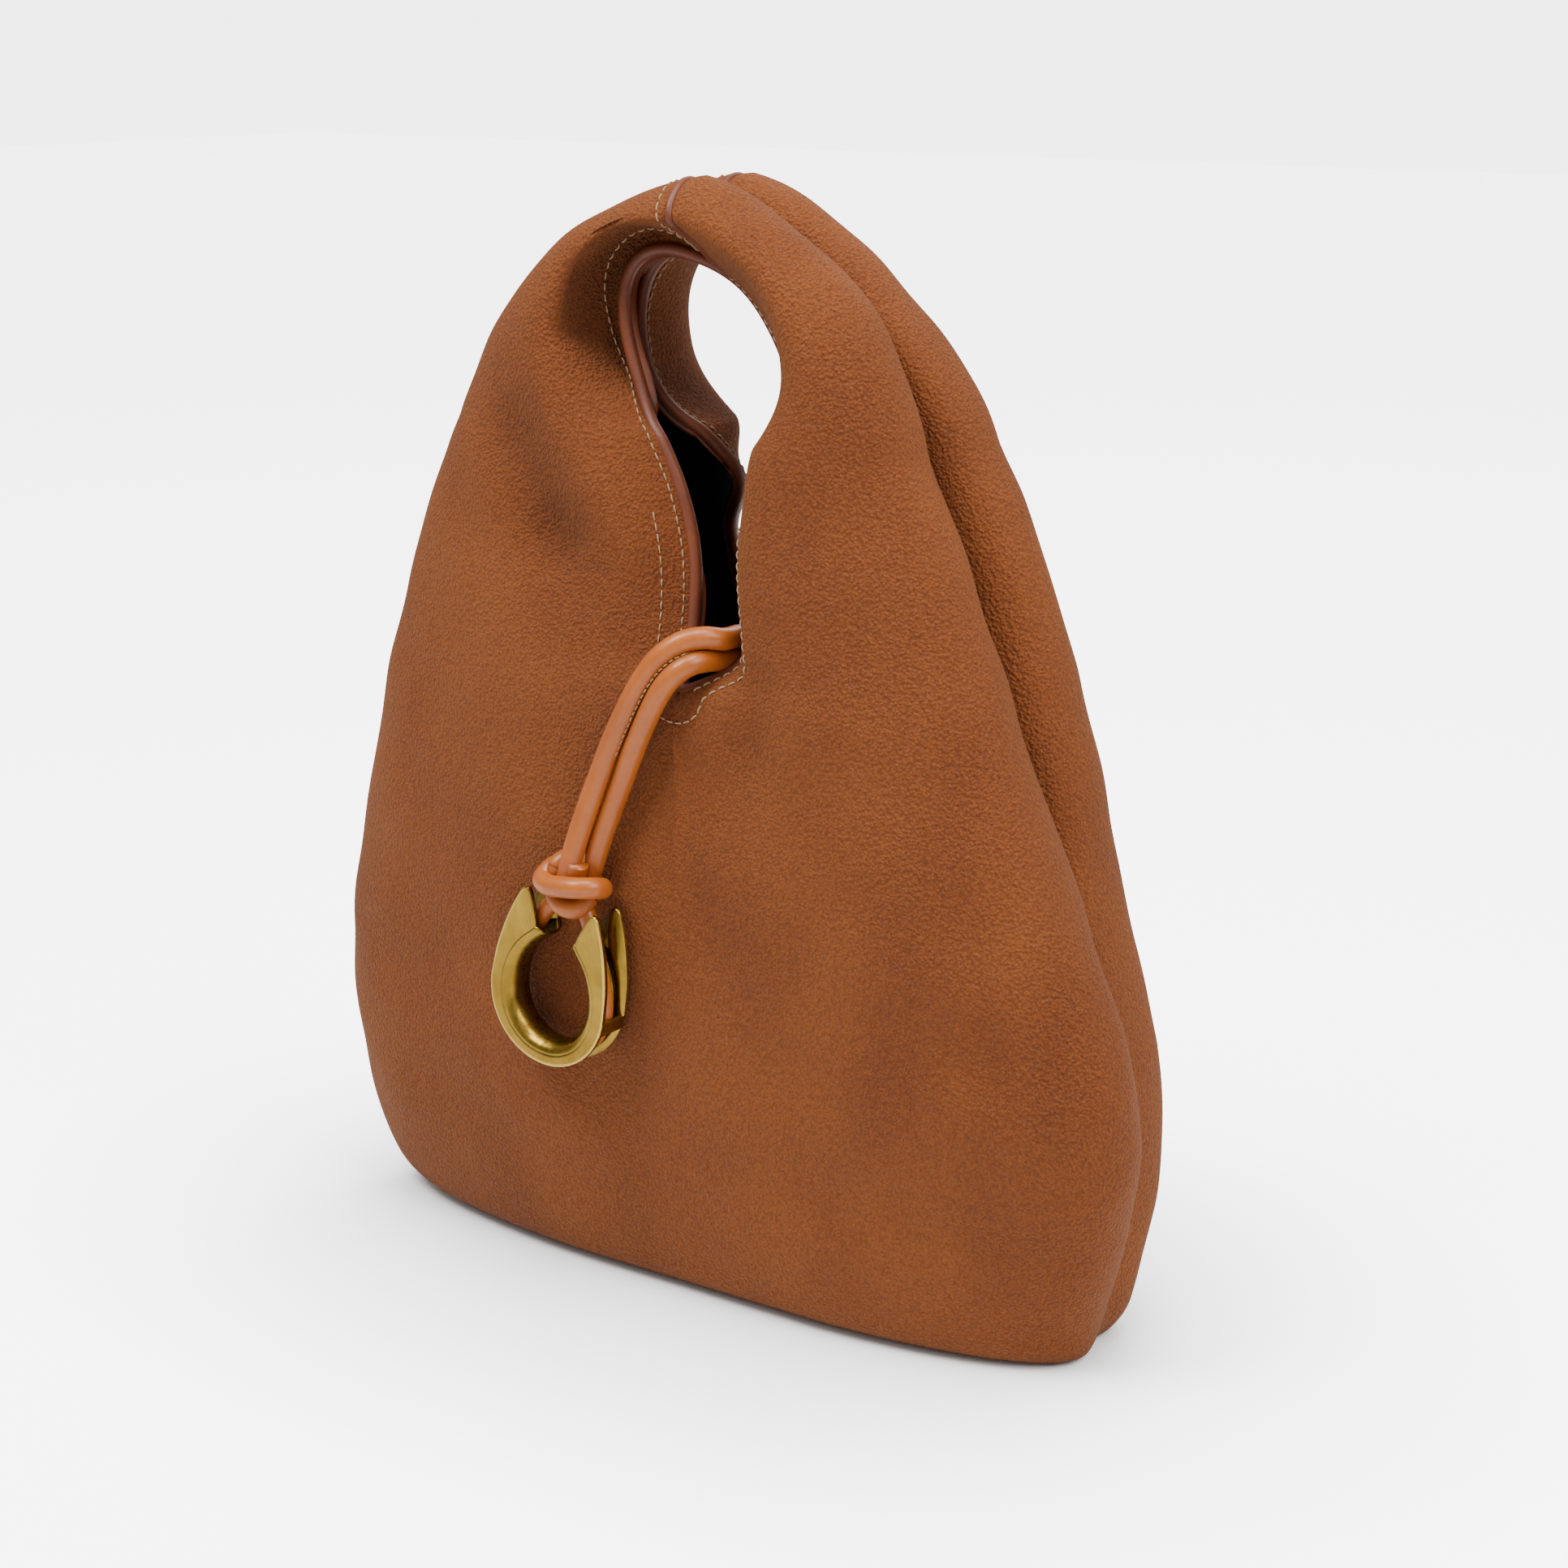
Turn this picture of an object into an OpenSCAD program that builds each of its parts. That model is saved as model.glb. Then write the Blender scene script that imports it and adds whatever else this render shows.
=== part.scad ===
// Hobo bag: a slouched leather sack whose front and rear panels run up into one loop handle. A rolled
// leather cord leaves the notch of the hand opening, hangs over the front and carries a brass ring.
// Millimetres. +Z up, front faces -Y, origin on the ground under the middle of the bag.

/* [Bag] */
// Width across the widest part of the body
bag_width = 300; // [280:1:320]
// Height from the ground to the top of the handle
bag_height = 343; // [325:1:360]
// Depth of the filled body from front to rear
bag_depth = 98; // [92:1:110]

/* [Leather] */
// Thickness of the outer nubuck
leather = 2; // [1.6:0.1:2.4]
// Thickness of the lining cloth
lining = 0.8; // [0.6:0.1:1]
// Thickness of the smooth leather facings and tapes
facing = 1; // [0.8:0.1:1.2]
// Diameter of the binding on the edges of the hand opening
binding_d = 4.2; // [3.8:0.1:4.8]
// Diameter of the piping in the handle seams
piping_d = 2.6; // [2.2:0.1:3]
// Distance from one stitch to the next
stitch_pitch = 3.5; // [3:0.1:5]

/* [Closure cord and ring] */
// Diameter of each rolled leather strand
cord_d = 6.8; // [6:0.1:7.2]
// Outer width of the brass ring
ring_width = 44; // [42:0.5:46]
// Distance between the outer faces of the ring's two plates
ring_depth = 12; // [11.6:0.1:13]
// Thickness of each ring plate
plate = 1.6; // [1.2:0.1:1.8]
// How far the ring's horns stand above its centre
horn_height = 32; // [30:0.5:34]

/* [Hidden] */

eps = 0.01;
LEFT = 0;
RIGHT = 1;
FRONT = 0;
REAR = 1;

// Scale of the loft, whose rows are drawn for the standard size
fit_x = bag_width / 300;
fit_y = bag_depth / 98;
fit_z = bag_height / 343;

// Centre of the hand opening's fan of rows, and the lean of the handle to the left
hand_z = 266;
lean = 0.063;
lean_from = 90;
centre_x = 10.7;

// The loft's rows, by distance along the bag's side: level up to hand_z, then fanned round its centre
ROW_U = [0, 1.5, 12, 45, 90, 140, 170, 192, 203, 230, 250, 266, 292, 318, 344];
fan_end = ROW_U[14];
seam_u = fan_end - 4;
notch_u = ROW_U[7];
// Half depth of the panel's face, and of the outer ridge where it turns into the side fold
FACE = [22, 35, 42, 47, 49, 47, 45, 43, 42, 39.5, 38.3, 37, 34, 30, 27];
RIDGE = [9, 15, 18, 24, 27, 26, 25, 24, 23.5, 22, 21, 20, 18, 15, 13];
// Reach of the side fold's bottom, where the side seam lies: left and right
VALLEY = [[122, 128, 131, 133, 127, 113, 103, 93, 89, 79.5, 71.5, 65, 58, 58, 64],
    [112, 117, 121, 124, 121, 108, 95, 87, 83.5, 75, 66.5, 60, 55, 56, 64]];
// Reach of the outer ridge: [front left, front right], [rear left, rear right]
REACH = [[[128, 136, 149, 157, 158, 146, 137, 129, 125, 114, 105, 97, 81, 73, 76],
        [114, 120, 124, 134, 137, 122, 109, 101, 97.5, 88, 79, 72, 70, 67, 76]],
    [[120, 127, 133, 142, 146, 134, 123, 115, 111, 101, 93, 86, 76, 72, 75],
        [112, 117, 123, 127, 124, 113, 107, 102.5, 100.5, 93.5, 86, 78, 67, 66, 75]]];
// Reach and half depth of the opening's bound edge; below the notch it is the middle of the panel
EDGE = [[[0, 0, 0, 0, 0, 0, 0, 0, 1, 2, 7, 15.5, 30, 57, 46.5],
        [0, 0, 0, 0, 0, 0, 0, 0, 18, 19, 22, 28, 34, 38, 46.5]],
    [[0, 0, 0, 0, 0, 0, 0, 0, 20, 25, 9, 15, 36, 57, 46.5],
        [0, 0, 0, 0, 0, 0, 0, 0, 14, 19, 24.5, 30, 34, 38, 46.5]]];
EDGE_DEPTH = [[[22, 35, 42, 47, 49, 47, 44, 41, 32, 25, 23, 21, 16, 10.5, 4],
        [22, 35, 42, 47, 49, 47, 44, 41, 30, 26, 22, 19, 16, 10, 4]],
    [[22, 35, 42, 47, 49, 47, 41, 34, 32, 27, 12, 0, -4, 1.5, 4],
        [22, 35, 42, 47, 49, 47, 41, 34, 26, 21, 18.5, 16, 10, 5, 4]]];
// Reach and half depth of the roll beside the opening, the inner side of each handle strand
NECK = [[[30, 32, 35, 40, 42, 42, 38, 34, 32, 29, 30, 32, 42, 60, 56],
        [30, 32, 35, 40, 42, 42, 36, 30, 23, 20, 21, 24, 41, 51, 56]],
    [[30, 32, 35, 40, 42, 42, 38, 35, 33, 32, 22, 12, 36, 53, 56],
        [30, 32, 35, 40, 42, 42, 36, 33.5, 32, 32, 33.5, 36, 46, 54, 56]]];
NECK_DEPTH = [[[22, 35, 42, 47, 49, 47, 45, 43, 41, 36, 32, 28, 20, 18, 18],
        [22, 35, 42, 47, 49, 47, 45, 43, 40, 37.5, 35.5, 33, 28, 22, 18]],
    [[22, 35, 42, 47, 49, 47, 43, 41, 38, 34, 26, 19, 19, 15, 18],
        [22, 35, 42, 47, 49, 47, 43, 41, 38, 34, 31, 28, 22, 20, 18]]];

// Where the panels are cut into facets, across a half section and along its side
ACROSS = [0, 0.06, 0.14, 0.24, 0.36, 0.48, 0.58, 0.66, 0.74, 0.82, 0.9, 1];
ROW_STEPS = 2;
ALONG = [for (i = [0:len(ROW_U) - 2]) for (k = [0:ROW_STEPS - 1])
    ROW_U[i] + (ROW_U[i + 1] - ROW_U[i]) * k / ROW_STEPS, fan_end];

// Middle line between the two strands of the closure cord outside the notch, hand set in the bag's frame
CORD_ROUTE = [[15.5, -34, 206.5], [13.6, -38.7, 207.2], [10.8, -42.6, 206.7], [7.6, -45.5, 204.6],
    [4.4, -47.4, 201.3], [1.4, -48.5, 197], [-1.5, -49.1, 192], [-4.4, -49.5, 186.4], [-7.3, -49.9, 180.3],
    [-10.1, -50.3, 173.9], [-12.7, -50.7, 167.3], [-15.1, -51.6, 160.6], [-17.3, -52.6, 154],
    [-19.3, -53.7, 147.4], [-21, -54.6, 141.1], [-22.4, -55.2, 135.5]];
strand_gap = 3.5;
base_gap = 1.6;
// The same strands inside the bag, from the notch back to the anchor tab on the rear panel
STRAND_IN = [[[16.5, -26.5, 209.5], [17.2, -21, 208.5], [18.6, -14, 204], [20, -4, 193.5], [21, 6, 180],
        [21.5, 16, 171], [21.5, 22, 168], [21.5, 29, 168]],
    [[16.5, -26.5, 202.5], [16, -21, 201.5], [14, -14, 198.5], [13.6, -4, 189.5], [14, 6, 178.5],
        [14.5, 16, 171], [14.5, 22, 168], [14.5, 29, 168]]];

// Ring frame: centre of the round part, lean of the horns to the right, and where the knot sits above it
ring_at = [-29.8, -57, 97.5];
ring_lean = 11;
knot_up = 37;
pivot_up = 31.5;
loop_drop = 2.6;
groove_r = ring_width / 2 - 4.4;
web_r = groove_r - cord_d / 2;
web = 2.2;
throat_r = 8;
eye_down = 1.5;
loop_d = cord_d - 0.4;
bar = [1.4, 4.4];

// The strands lie side by side at the notch, and one behind the other at the knot
strand_turn = 55;
turn_from = 5;

// Where the anchor tab sits on the inside of the rear panel
tab_at = [18, 31.9, 160];

// ---------- loft ----------

function row_of(u, i = 0) = i >= len(ROW_U) - 2 || u < ROW_U[i + 1] ? i : row_of(u, i + 1);
function slope(v, i) = let (a = max(i - 1, 0), b = min(i + 1, len(v) - 1))
    (v[b] - v[a]) / (ROW_U[b] - ROW_U[a]);

// Value of one row quantity at distance u, on a smooth curve through the rows
function at(v, u) = let (i = row_of(u), h = ROW_U[i + 1] - ROW_U[i], k = (u - ROW_U[i]) / h)
    (2 * k ^ 3 - 3 * k ^ 2 + 1) * v[i] + (k ^ 3 - 2 * k ^ 2 + k) * h * slope(v, i)
    + (3 * k ^ 2 - 2 * k ^ 3) * v[i + 1] + (k ^ 3 - k ^ 2) * h * slope(v, i + 1);

// Control points of the half section at u: [reach, half depth] from the opening's edge to the side seam
function section(side, face, u) = let (
        edge = max(0, at(EDGE[face][side], u)),
        edge_y = at(EDGE_DEPTH[face][side], u),
        neck = at(NECK[face][side], u),
        neck_y = at(NECK_DEPTH[face][side], u),
        reach = at(REACH[face][side], u),
        face_y = at(FACE, u),
        ridge_y = at(RIDGE, u),
        seam = at(VALLEY[side], u),
        span = reach - neck)
    [[edge, edge_y], [edge, edge_y], [edge, edge_y], [neck, neck_y], [neck + 0.28 * span, face_y],
        [neck + 0.78 * span, 0.65 * face_y + 0.35 * ridge_y], [reach + 2, ridge_y],
        [reach - 2, 0.15 * ridge_y], [seam, 0.2], [seam, 0.2], [seam, 0.2]];

// Uniform cubic B-spline through a section, s from 0 at the opening to 1 at the side seam
function spline(c, s) = let (n = len(c) - 3, i = min(floor(s * n), n - 1), k = s * n - i)
    ((1 - k) ^ 3 * c[i] + (3 * k ^ 3 - 6 * k ^ 2 + 4) * c[i + 1]
        + (1 + 3 * k + 3 * k ^ 2 - 3 * k ^ 3) * c[i + 2] + k ^ 3 * c[i + 3]) / 6;

function fan(u) = u <= hand_z ? 0 : 90 * (u - hand_z) / (fan_end - hand_z);

// A point of the panel's outer surface
function skin(side, face, s, u) = let (
        q = spline(section(side, face, u), s),
        z = min(u, hand_z) + q[0] * sin(fan(u)),
        out = (side == LEFT ? -1 : 1) * q[0] * cos(fan(u)),
        x = out - lean * max(0, z - lean_from) + centre_x)
    [x * fit_x, (face == FRONT ? -1 : 1) * q[1] * fit_y, z * fit_z];

function unit(v) = v / max(norm(v), eps);

// Outward direction of the skin
function outward(side, face, s, u) = let (
        ds = skin(side, face, min(1, s + 0.02), u) - skin(side, face, max(0, s - 0.02), u),
        du = skin(side, face, s, min(fan_end, u + 1)) - skin(side, face, s, max(0, u - 1)),
        turn = (side == LEFT ? -1 : 1) * (face == FRONT ? 1 : -1))
    turn * unit(cross(ds, du));

// A point below the skin by depth, in the leather or behind it
function under(side, face, s, u, depth) = skin(side, face, s, u) - depth * outward(side, face, s, u);

// ---------- generic solids ----------

function tri(a, b, c, d, flip) = flip ? [[a, c, b], [a, d, c]] : [[a, b, c], [a, c, d]];

// Both halves of a panel as one sheet, between two depths under the skin. The halves share their middle
// below the notch, and their ends at the top of the handle.
module sheet(face, across, along, outer, inner) {
    m = len(across);
    n = len(along);
    closed_top = along[n - 1] == fan_end;
    joined = across[0] == 0;
    points = [for (side = [LEFT, RIGHT]) for (depth = [outer, inner]) for (u = along) for (s = across)
        under(s == 0 && u <= notch_u || u == fan_end ? LEFT : side, face, s, u, depth)
    ];
    function home(side, i, j) = joined && j == 0 && along[i] <= notch_u || closed_top && i == n - 1 ? LEFT : side;
    function id(side, layer, i, j) = ((home(side, i, j) * 2 + layer) * n + i) * m + j;
    faces = [for (side = [LEFT, RIGHT]) let (flip = (side == LEFT) == (face == FRONT)) each concat(
        [for (i = [0:n - 2]) for (j = [0:m - 2]) each concat(
            tri(id(side, 0, i, j), id(side, 0, i + 1, j), id(side, 0, i + 1, j + 1), id(side, 0, i, j + 1), flip),
            tri(id(side, 1, i, j), id(side, 1, i, j + 1), id(side, 1, i + 1, j + 1), id(side, 1, i + 1, j), flip))],
        [for (i = [0:n - 2]) each concat(
            joined && along[i + 1] <= notch_u ? [] :
                tri(id(side, 1, i, 0), id(side, 1, i + 1, 0), id(side, 0, i + 1, 0), id(side, 0, i, 0), flip),
            tri(id(side, 0, i, m - 1), id(side, 0, i + 1, m - 1), id(side, 1, i + 1, m - 1), id(side, 1, i, m - 1),
                flip))],
        [for (j = [0:m - 2])
            each tri(id(side, 0, 0, j), id(side, 0, 0, j + 1), id(side, 1, 0, j + 1), id(side, 1, 0, j), flip)],
        closed_top ? [] : [for (j = [0:m - 2]) each tri(id(side, 1, n - 1, j), id(side, 1, n - 1, j + 1),
            id(side, 0, n - 1, j + 1), id(side, 0, n - 1, j), flip)])];
    polyhedron(points, faces, convexity = 10);
}

// A tube swept along a list of points, with its ring of corners squashed by flat across the reference
module tube(path, d, sides = 8, flat = 1, up = [0, 0, 1], closed = false) {
    n = len(path);
    points = [for (i = [0:n - 1]) let (
            before = path[closed ? (i + n - 1) % n : max(0, i - 1)],
            after = path[closed ? (i + 1) % n : min(n - 1, i + 1)],
            along = unit(after - before),
            u = unit(cross(along, up)),
            v = cross(u, along))
        for (k = [0:sides - 1]) path[i] + d / 2 * (u * cos(360 * k / sides) + v * flat * sin(360 * k / sides))];
    walls = [for (i = [0:n - (closed ? 1 : 2)]) for (k = [0:sides - 1]) let (
            a = i * sides + k,
            b = i * sides + (k + 1) % sides,
            c = ((i + 1) % n) * sides + (k + 1) % sides,
            e = ((i + 1) % n) * sides + k)
        each [[a, b, c], [a, c, e]]];
    ends = closed ? [] : [[for (k = [sides - 1:-1:0]) k], [for (k = [0:sides - 1]) (n - 1) * sides + k]];
    polyhedron(points, concat(walls, ends), convexity = 6);
}

// A thread stitch lying on the skin
module stitch(at, along, length, d = 0.8) {
    turn = [0, acos(along[2] / norm(along)), atan2(along[1], along[0])];
    translate(at) rotate(turn) cylinder(d = d, h = length, center = true, $fn = 6);
}

// A row of stitches on one half panel, at s, from one distance to another
module stitch_row(side, face, s, from, to, lift = 0.2) {
    count = floor((to - from) / stitch_pitch);
    for (k = [0:count - 1]) {
        u = from + (to - from) * (k + 0.5) / count;
        a = under(side, face, s, u - 1, -lift);
        b = under(side, face, s, u + 1, -lift);
        stitch((a + b) / 2, b - a, stitch_pitch * 0.7);
    }
}

// ---------- shell of the bag ----------

module front_panel() {
    color([0.62, 0.36, 0.19]) sheet(FRONT, ACROSS, ALONG, 0, leather);
}

module rear_panel() {
    color([0.6, 0.35, 0.18]) sheet(REAR, ACROSS, ALONG, 0, leather);
}

// Plan of the base, inside the panels' bottom edges by gap: one half edge, from the middle outward
function base_side(side, face, gap) = let (middle = centre_x * fit_x) [for (s = ACROSS)
    let (p = skin(side, face, s, 0), y = abs(p[1]) - gap)
    if (s > 0.1 && y > 3) [middle + (p[0] - middle) * (1 - gap / 55), (face == FRONT ? -1 : 1) * y]];
function reversed(v) = [for (i = [len(v) - 1:-1:0]) v[i]];
function base_outline(gap) = concat(reversed(base_side(LEFT, FRONT, gap)), base_side(RIGHT, FRONT, gap),
    reversed(base_side(RIGHT, REAR, gap)), base_side(LEFT, REAR, gap));

module base_panel() {
    color([0.55, 0.32, 0.17]) linear_extrude(leather) polygon(base_outline(base_gap));
}

module base_stiffener() {
    color([0.2, 0.2, 0.2]) translate([0, 0, leather + 0.3]) linear_extrude(1.5)
        polygon(base_outline(6));
}

// Lining, facings and webbing

LINING_ROWS = [for (u = ALONG) if (u >= 12 && u <= hand_z) u];
module front_lining() {
    color([0.1, 0.1, 0.11]) sheet(FRONT, ACROSS, LINING_ROWS, leather + 0.2, leather + 0.2 + lining);
}

module rear_lining() {
    color([0.1, 0.1, 0.11]) sheet(REAR, ACROSS, LINING_ROWS, leather + 0.2, leather + 0.2 + lining);
}

FACING_ACROSS = [0, 0.06, 0.14];
FACING_ROWS = [for (u = ALONG) if (u >= 170 && u <= hand_z) u];
facing_depth = leather + 0.4 + lining;
module front_opening_facing() {
    color([0.55, 0.31, 0.2]) sheet(FRONT, FACING_ACROSS, FACING_ROWS, facing_depth, facing_depth + facing);
}

module rear_opening_facing() {
    color([0.55, 0.31, 0.2]) sheet(REAR, FACING_ACROSS, FACING_ROWS, facing_depth, facing_depth + facing);
}

WEBBING_ACROSS = [0.36, 0.48, 0.58];
WEBBING_ROWS = [for (u = ALONG) if (u >= hand_z) u];
module front_handle_webbing() {
    color([0.3, 0.28, 0.25]) sheet(FRONT, WEBBING_ACROSS, WEBBING_ROWS, facing_depth, facing_depth + facing);
}

module rear_handle_webbing() {
    color([0.3, 0.28, 0.25]) sheet(REAR, WEBBING_ACROSS, WEBBING_ROWS, facing_depth, facing_depth + facing);
}

// ---------- edges and seams ----------

BOUND_ROWS = [for (u = ALONG) if (u >= notch_u) u];
// Closed run of the opening's bound edge: up the left side, over the top and down the right
function edge_run(face) = let (n = len(BOUND_ROWS))
    [for (u = BOUND_ROWS) under(LEFT, face, 0, u, leather / 2),
        for (i = [n - 2:-1:1]) under(RIGHT, face, 0, BOUND_ROWS[i], leather / 2)];

module front_opening_binding() {
    color([0.56, 0.3, 0.2]) tube(edge_run(FRONT), binding_d, 8, 1, [0.1, 1, 0.1], true);
}

module rear_opening_binding() {
    color([0.56, 0.3, 0.2]) tube(edge_run(REAR), binding_d, 8, 1, [0.1, 1, 0.1], true);
}

// Piping round a handle strand, in the seam where the panel's two ears meet
module handle_piping(face) {
    run = [for (s = ACROSS) if (s < 0.9) skin(LEFT, face, s, seam_u)];
    color([0.52, 0.29, 0.16]) tube(run, piping_d, 8, 1, [1, 0, 0]);
}

module front_handle_piping() {
    handle_piping(FRONT);
}

module rear_handle_piping() {
    handle_piping(REAR);
}

// Tape over the raw edges of the side seam, inside the fold
tape_inside = 3.6;
module seam_tape(side) {
    inward = side == LEFT ? 1 : -1;
    rows = [for (u = ALONG) if (u >= 12 && u <= hand_z) u];
    path = [for (u = rows) (skin(side, FRONT, 1, u) + skin(side, REAR, 1, u)) / 2
        + tape_inside * [inward * cos(fan(u)), 0, -sin(fan(u))]];
    color([0.5, 0.29, 0.18]) tube(path, 2 * facing, 6, 2.6, [inward, 0, 0.4]);
}

module left_seam_tape() {
    seam_tape(LEFT);
}

module right_seam_tape() {
    seam_tape(RIGHT);
}

// Half the share of a section that one stitch across it takes up, and how far the thread stands proud
half_stitch_s = 0.01;
thread_lift = 0.2;
edge_row_s = 0.05;
module front_edge_stitching() {
    color([0.86, 0.78, 0.66]) for (side = [LEFT, RIGHT]) stitch_row(side, FRONT, edge_row_s, notch_u + 4, fan_end - 6);
}

module rear_edge_stitching() {
    color([0.86, 0.78, 0.66]) for (side = [LEFT, RIGHT]) stitch_row(side, REAR, edge_row_s, notch_u + 4, fan_end - 6);
}

// Second row of stitches, through the facing: down beside the opening and round under the notch
facing_row_s = 0.13;
facing_row_from = notch_u - 10;
facing_row_to = 250;
turn_stitches = 4;
module front_facing_stitching() {
    color([0.86, 0.78, 0.66]) for (side = [LEFT, RIGHT]) {
        stitch_row(side, FRONT, facing_row_s, facing_row_from, facing_row_to);
        for (k = [1:turn_stitches]) {
            s = facing_row_s * k / (turn_stitches + 1);
            u = facing_row_from - (turn_stitches + 1 - k);
            a = under(side, FRONT, s - half_stitch_s, u, -thread_lift);
            b = under(side, FRONT, s + half_stitch_s, u, -thread_lift);
            stitch((a + b) / 2, b - a, stitch_pitch * 0.7);
        }
    }
}

// A row of stitches beside each handle seam
SEAM_STITCHES = [0.24:0.055:0.74];
module handle_seam_stitching() {
    color([0.86, 0.78, 0.66]) for (face = [FRONT, REAR]) for (s = SEAM_STITCHES) {
        a = under(LEFT, face, s - half_stitch_s, seam_u - 3, -thread_lift);
        b = under(LEFT, face, s + half_stitch_s, seam_u - 3, -thread_lift);
        stitch((a + b) / 2, b - a, stitch_pitch * 0.6);
    }
}

// ---------- closure cord ----------

// Catmull-Rom points through a hand-set route, k steps to each stretch
function smooth(p, steps) = let (n = len(p)) [for (i = [0:n - 2]) for (k = [0:steps - 1]) let (
        t = k / steps,
        a = p[max(i - 1, 0)],
        b = p[i],
        c = p[i + 1],
        d = p[min(i + 2, n - 1)])
    b + 0.5 * ((c - a) * t + (2 * a - 5 * b + 4 * c - d) * t ^ 2 + (3 * b - a - 3 * c + d) * t ^ 3), p[n - 1]];

// One strand of the cord outside the notch, beside the middle line by gap, turning behind it lower down
function strand(gap) = let (last = len(CORD_ROUTE) - 1) [for (i = [0:last]) let (
        t = CORD_ROUTE[min(i + 1, last)] - CORD_ROUTE[max(i - 1, 0)],
        beside = unit([t[2], 0, -t[0]]),
        behind = unit(cross(beside, t)),
        turn = strand_turn * max(0, i - turn_from) / (last - turn_from))
    CORD_ROUTE[i] + gap * (beside * cos(turn) + behind * sin(turn))];

// Leather tab sewn to the inside of the rear panel, with a bore for each end of the cord
module cord_anchor_tab() {
    color([0.56, 0.3, 0.2]) translate(tab_at) difference() {
        translate([-9, -8.4, -20]) cube([18, 14, 36]);
        translate([-9 - eps, -4.6, -20 - eps]) cube([18 + 2 * eps, 7.4, 22]);
        translate([0, 10, -12]) rotate([90, 0, 0]) cylinder(d = 4.2, h = 30, $fn = 32);
        for (x = [-strand_gap, strand_gap])
            translate([x, -1, 8]) rotate([90, 0, 0]) cylinder(d = cord_d + 0.6, h = 12, $fn = 32);
    }
}

module anchor_rivet() {
    color([0.7, 0.58, 0.25]) translate(tab_at + [0, 0, -12]) rotate([90, 0, 0]) {
        translate([0, 0, -5.7]) cylinder(d = 3.9, h = 14.2, $fn = 32);
        translate([0, 0, 8.5]) cylinder(d = 8, h = 1.2, $fn = 32);
        translate([0, 0, -6.9]) cylinder(d = 8, h = 1.2, $fn = 32);
    }
}

module cord_tail_strands() {
    color([0.66, 0.35, 0.13]) for (p = STRAND_IN) tube(smooth(p, 2), cord_d, 10);
}

module closure_cord_strands() {
    color([0.66, 0.35, 0.13]) for (gap = [strand_gap, -strand_gap])
        tube(strand(gap), cord_d, 10, 1, [0, 1, 0.2]);
}

// White stitches in the groove between the two strands
module cord_stitching() {
    groove = [for (i = [2:10]) CORD_ROUTE[i] + [0, -2.4, 0]];
    color([0.9, 0.86, 0.78]) for (i = [0:len(groove) - 2])
        stitch((groove[i] + groove[i + 1]) / 2, groove[i + 1] - groove[i], 2.4);
}

module in_ring_frame() {
    translate(ring_at) rotate([0, ring_lean, 0]) children();
}

// Overhand knot: a wrap round the two strands, with a bight above and one below
module cord_knot() {
    color([0.66, 0.35, 0.13]) in_ring_frame() translate([0, 0, knot_up]) {
        scale([1.15, 0.9, 1]) rotate_extrude($fn = 28) translate([6, 0]) circle(d = cord_d, $fn = 16);
        scale([1.25, 0.9, 0.8]) sphere(d = 13, $fn = 24);
    }
}

// The loop below the knot that lies in the ring's outer groove
module ring_cord_loop() {
    turn = 118;
    arc = [for (k = [0:16]) let (a = 90 + (180 - turn) + (2 * turn) * k / 16)
        [groove_r * cos(a), 0, groove_r * sin(a)]];
    path = concat([[-4, 0, pivot_up - loop_drop], [-8, 0, 27]], arc, [[8, 0, 27], [4, 0, pivot_up - loop_drop]]);
    color([0.66, 0.35, 0.13]) in_ring_frame() tube(path, loop_d, 10, 1, [0, 1, 0]);
}

// ---------- ring ----------

// Outline of one ring plate: a round rim whose two horns rise to points, round an eye that opens upward
module plate_outline() {
    r = ring_width / 2;
    difference() {
        union() {
            circle(r = r, $fn = 72);
            for (m = [0, 1]) mirror([m, 0]) polygon([[r, 0], [r - 0.6, 8], [r - 2, 16], [r - 4.6, 24],
                [r - 8, horn_height], [0, horn_height - 12], [0, 0]]);
        }
        translate([0, -eye_down]) circle(r = web_r - 0.6, $fn = 72);
        for (m = [0, 1]) mirror([m, 0]) polygon([[-eps, 2], [13, 2], [12, 8], [9.8, 14], [7.8, 19], [7.6, 21.4],
            [9.6, 25], [r - 9.4, horn_height + 1], [-eps, horn_height + 1]]);
    }
}

// Two plates joined by a web whose throat is narrowest in the middle
module closure_ring() {
    color([0.72, 0.58, 0.26]) in_ring_frame() {
        for (m = [0, 1]) mirror([0, m, 0]) translate([0, ring_depth / 2, 0]) rotate([90, 0, 0])
            linear_extrude(plate) plate_outline();
        rotate([90, 0, 0]) rotate([0, 0, 90 + 30]) rotate_extrude(angle = 300, $fn = 96) intersection() {
            translate([web_r - web, -ring_depth / 2]) square([web, ring_depth]);
            translate([web_r - web + throat_r, 0]) circle(r = throat_r, $fn = 48);
        }
    }
}

// A flat bar across the groove on each side, over the loop
module ring_bridge_bars() {
    color([0.74, 0.6, 0.28]) in_ring_frame() for (m = [0, 1]) mirror([m, 0, 0]) rotate([0, 8, 0])
        translate([groove_r + loop_d / 2 + 0.3, plate / 2 - ring_depth / 2, -bar[1] / 2])
            cube([bar[0], ring_depth - plate, bar[1]]);
}

front_panel();
rear_panel();
base_panel();
base_stiffener();
front_lining();
rear_lining();
front_opening_facing();
rear_opening_facing();
front_opening_binding();
rear_opening_binding();
front_handle_piping();
rear_handle_piping();
front_handle_webbing();
rear_handle_webbing();
left_seam_tape();
right_seam_tape();
front_edge_stitching();
rear_edge_stitching();
front_facing_stitching();
handle_seam_stitching();
cord_anchor_tab();
anchor_rivet();
cord_tail_strands();
closure_cord_strands();
cord_stitching();
cord_knot();
ring_cord_loop();
closure_ring();
ring_bridge_bars();
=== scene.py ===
import math

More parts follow.
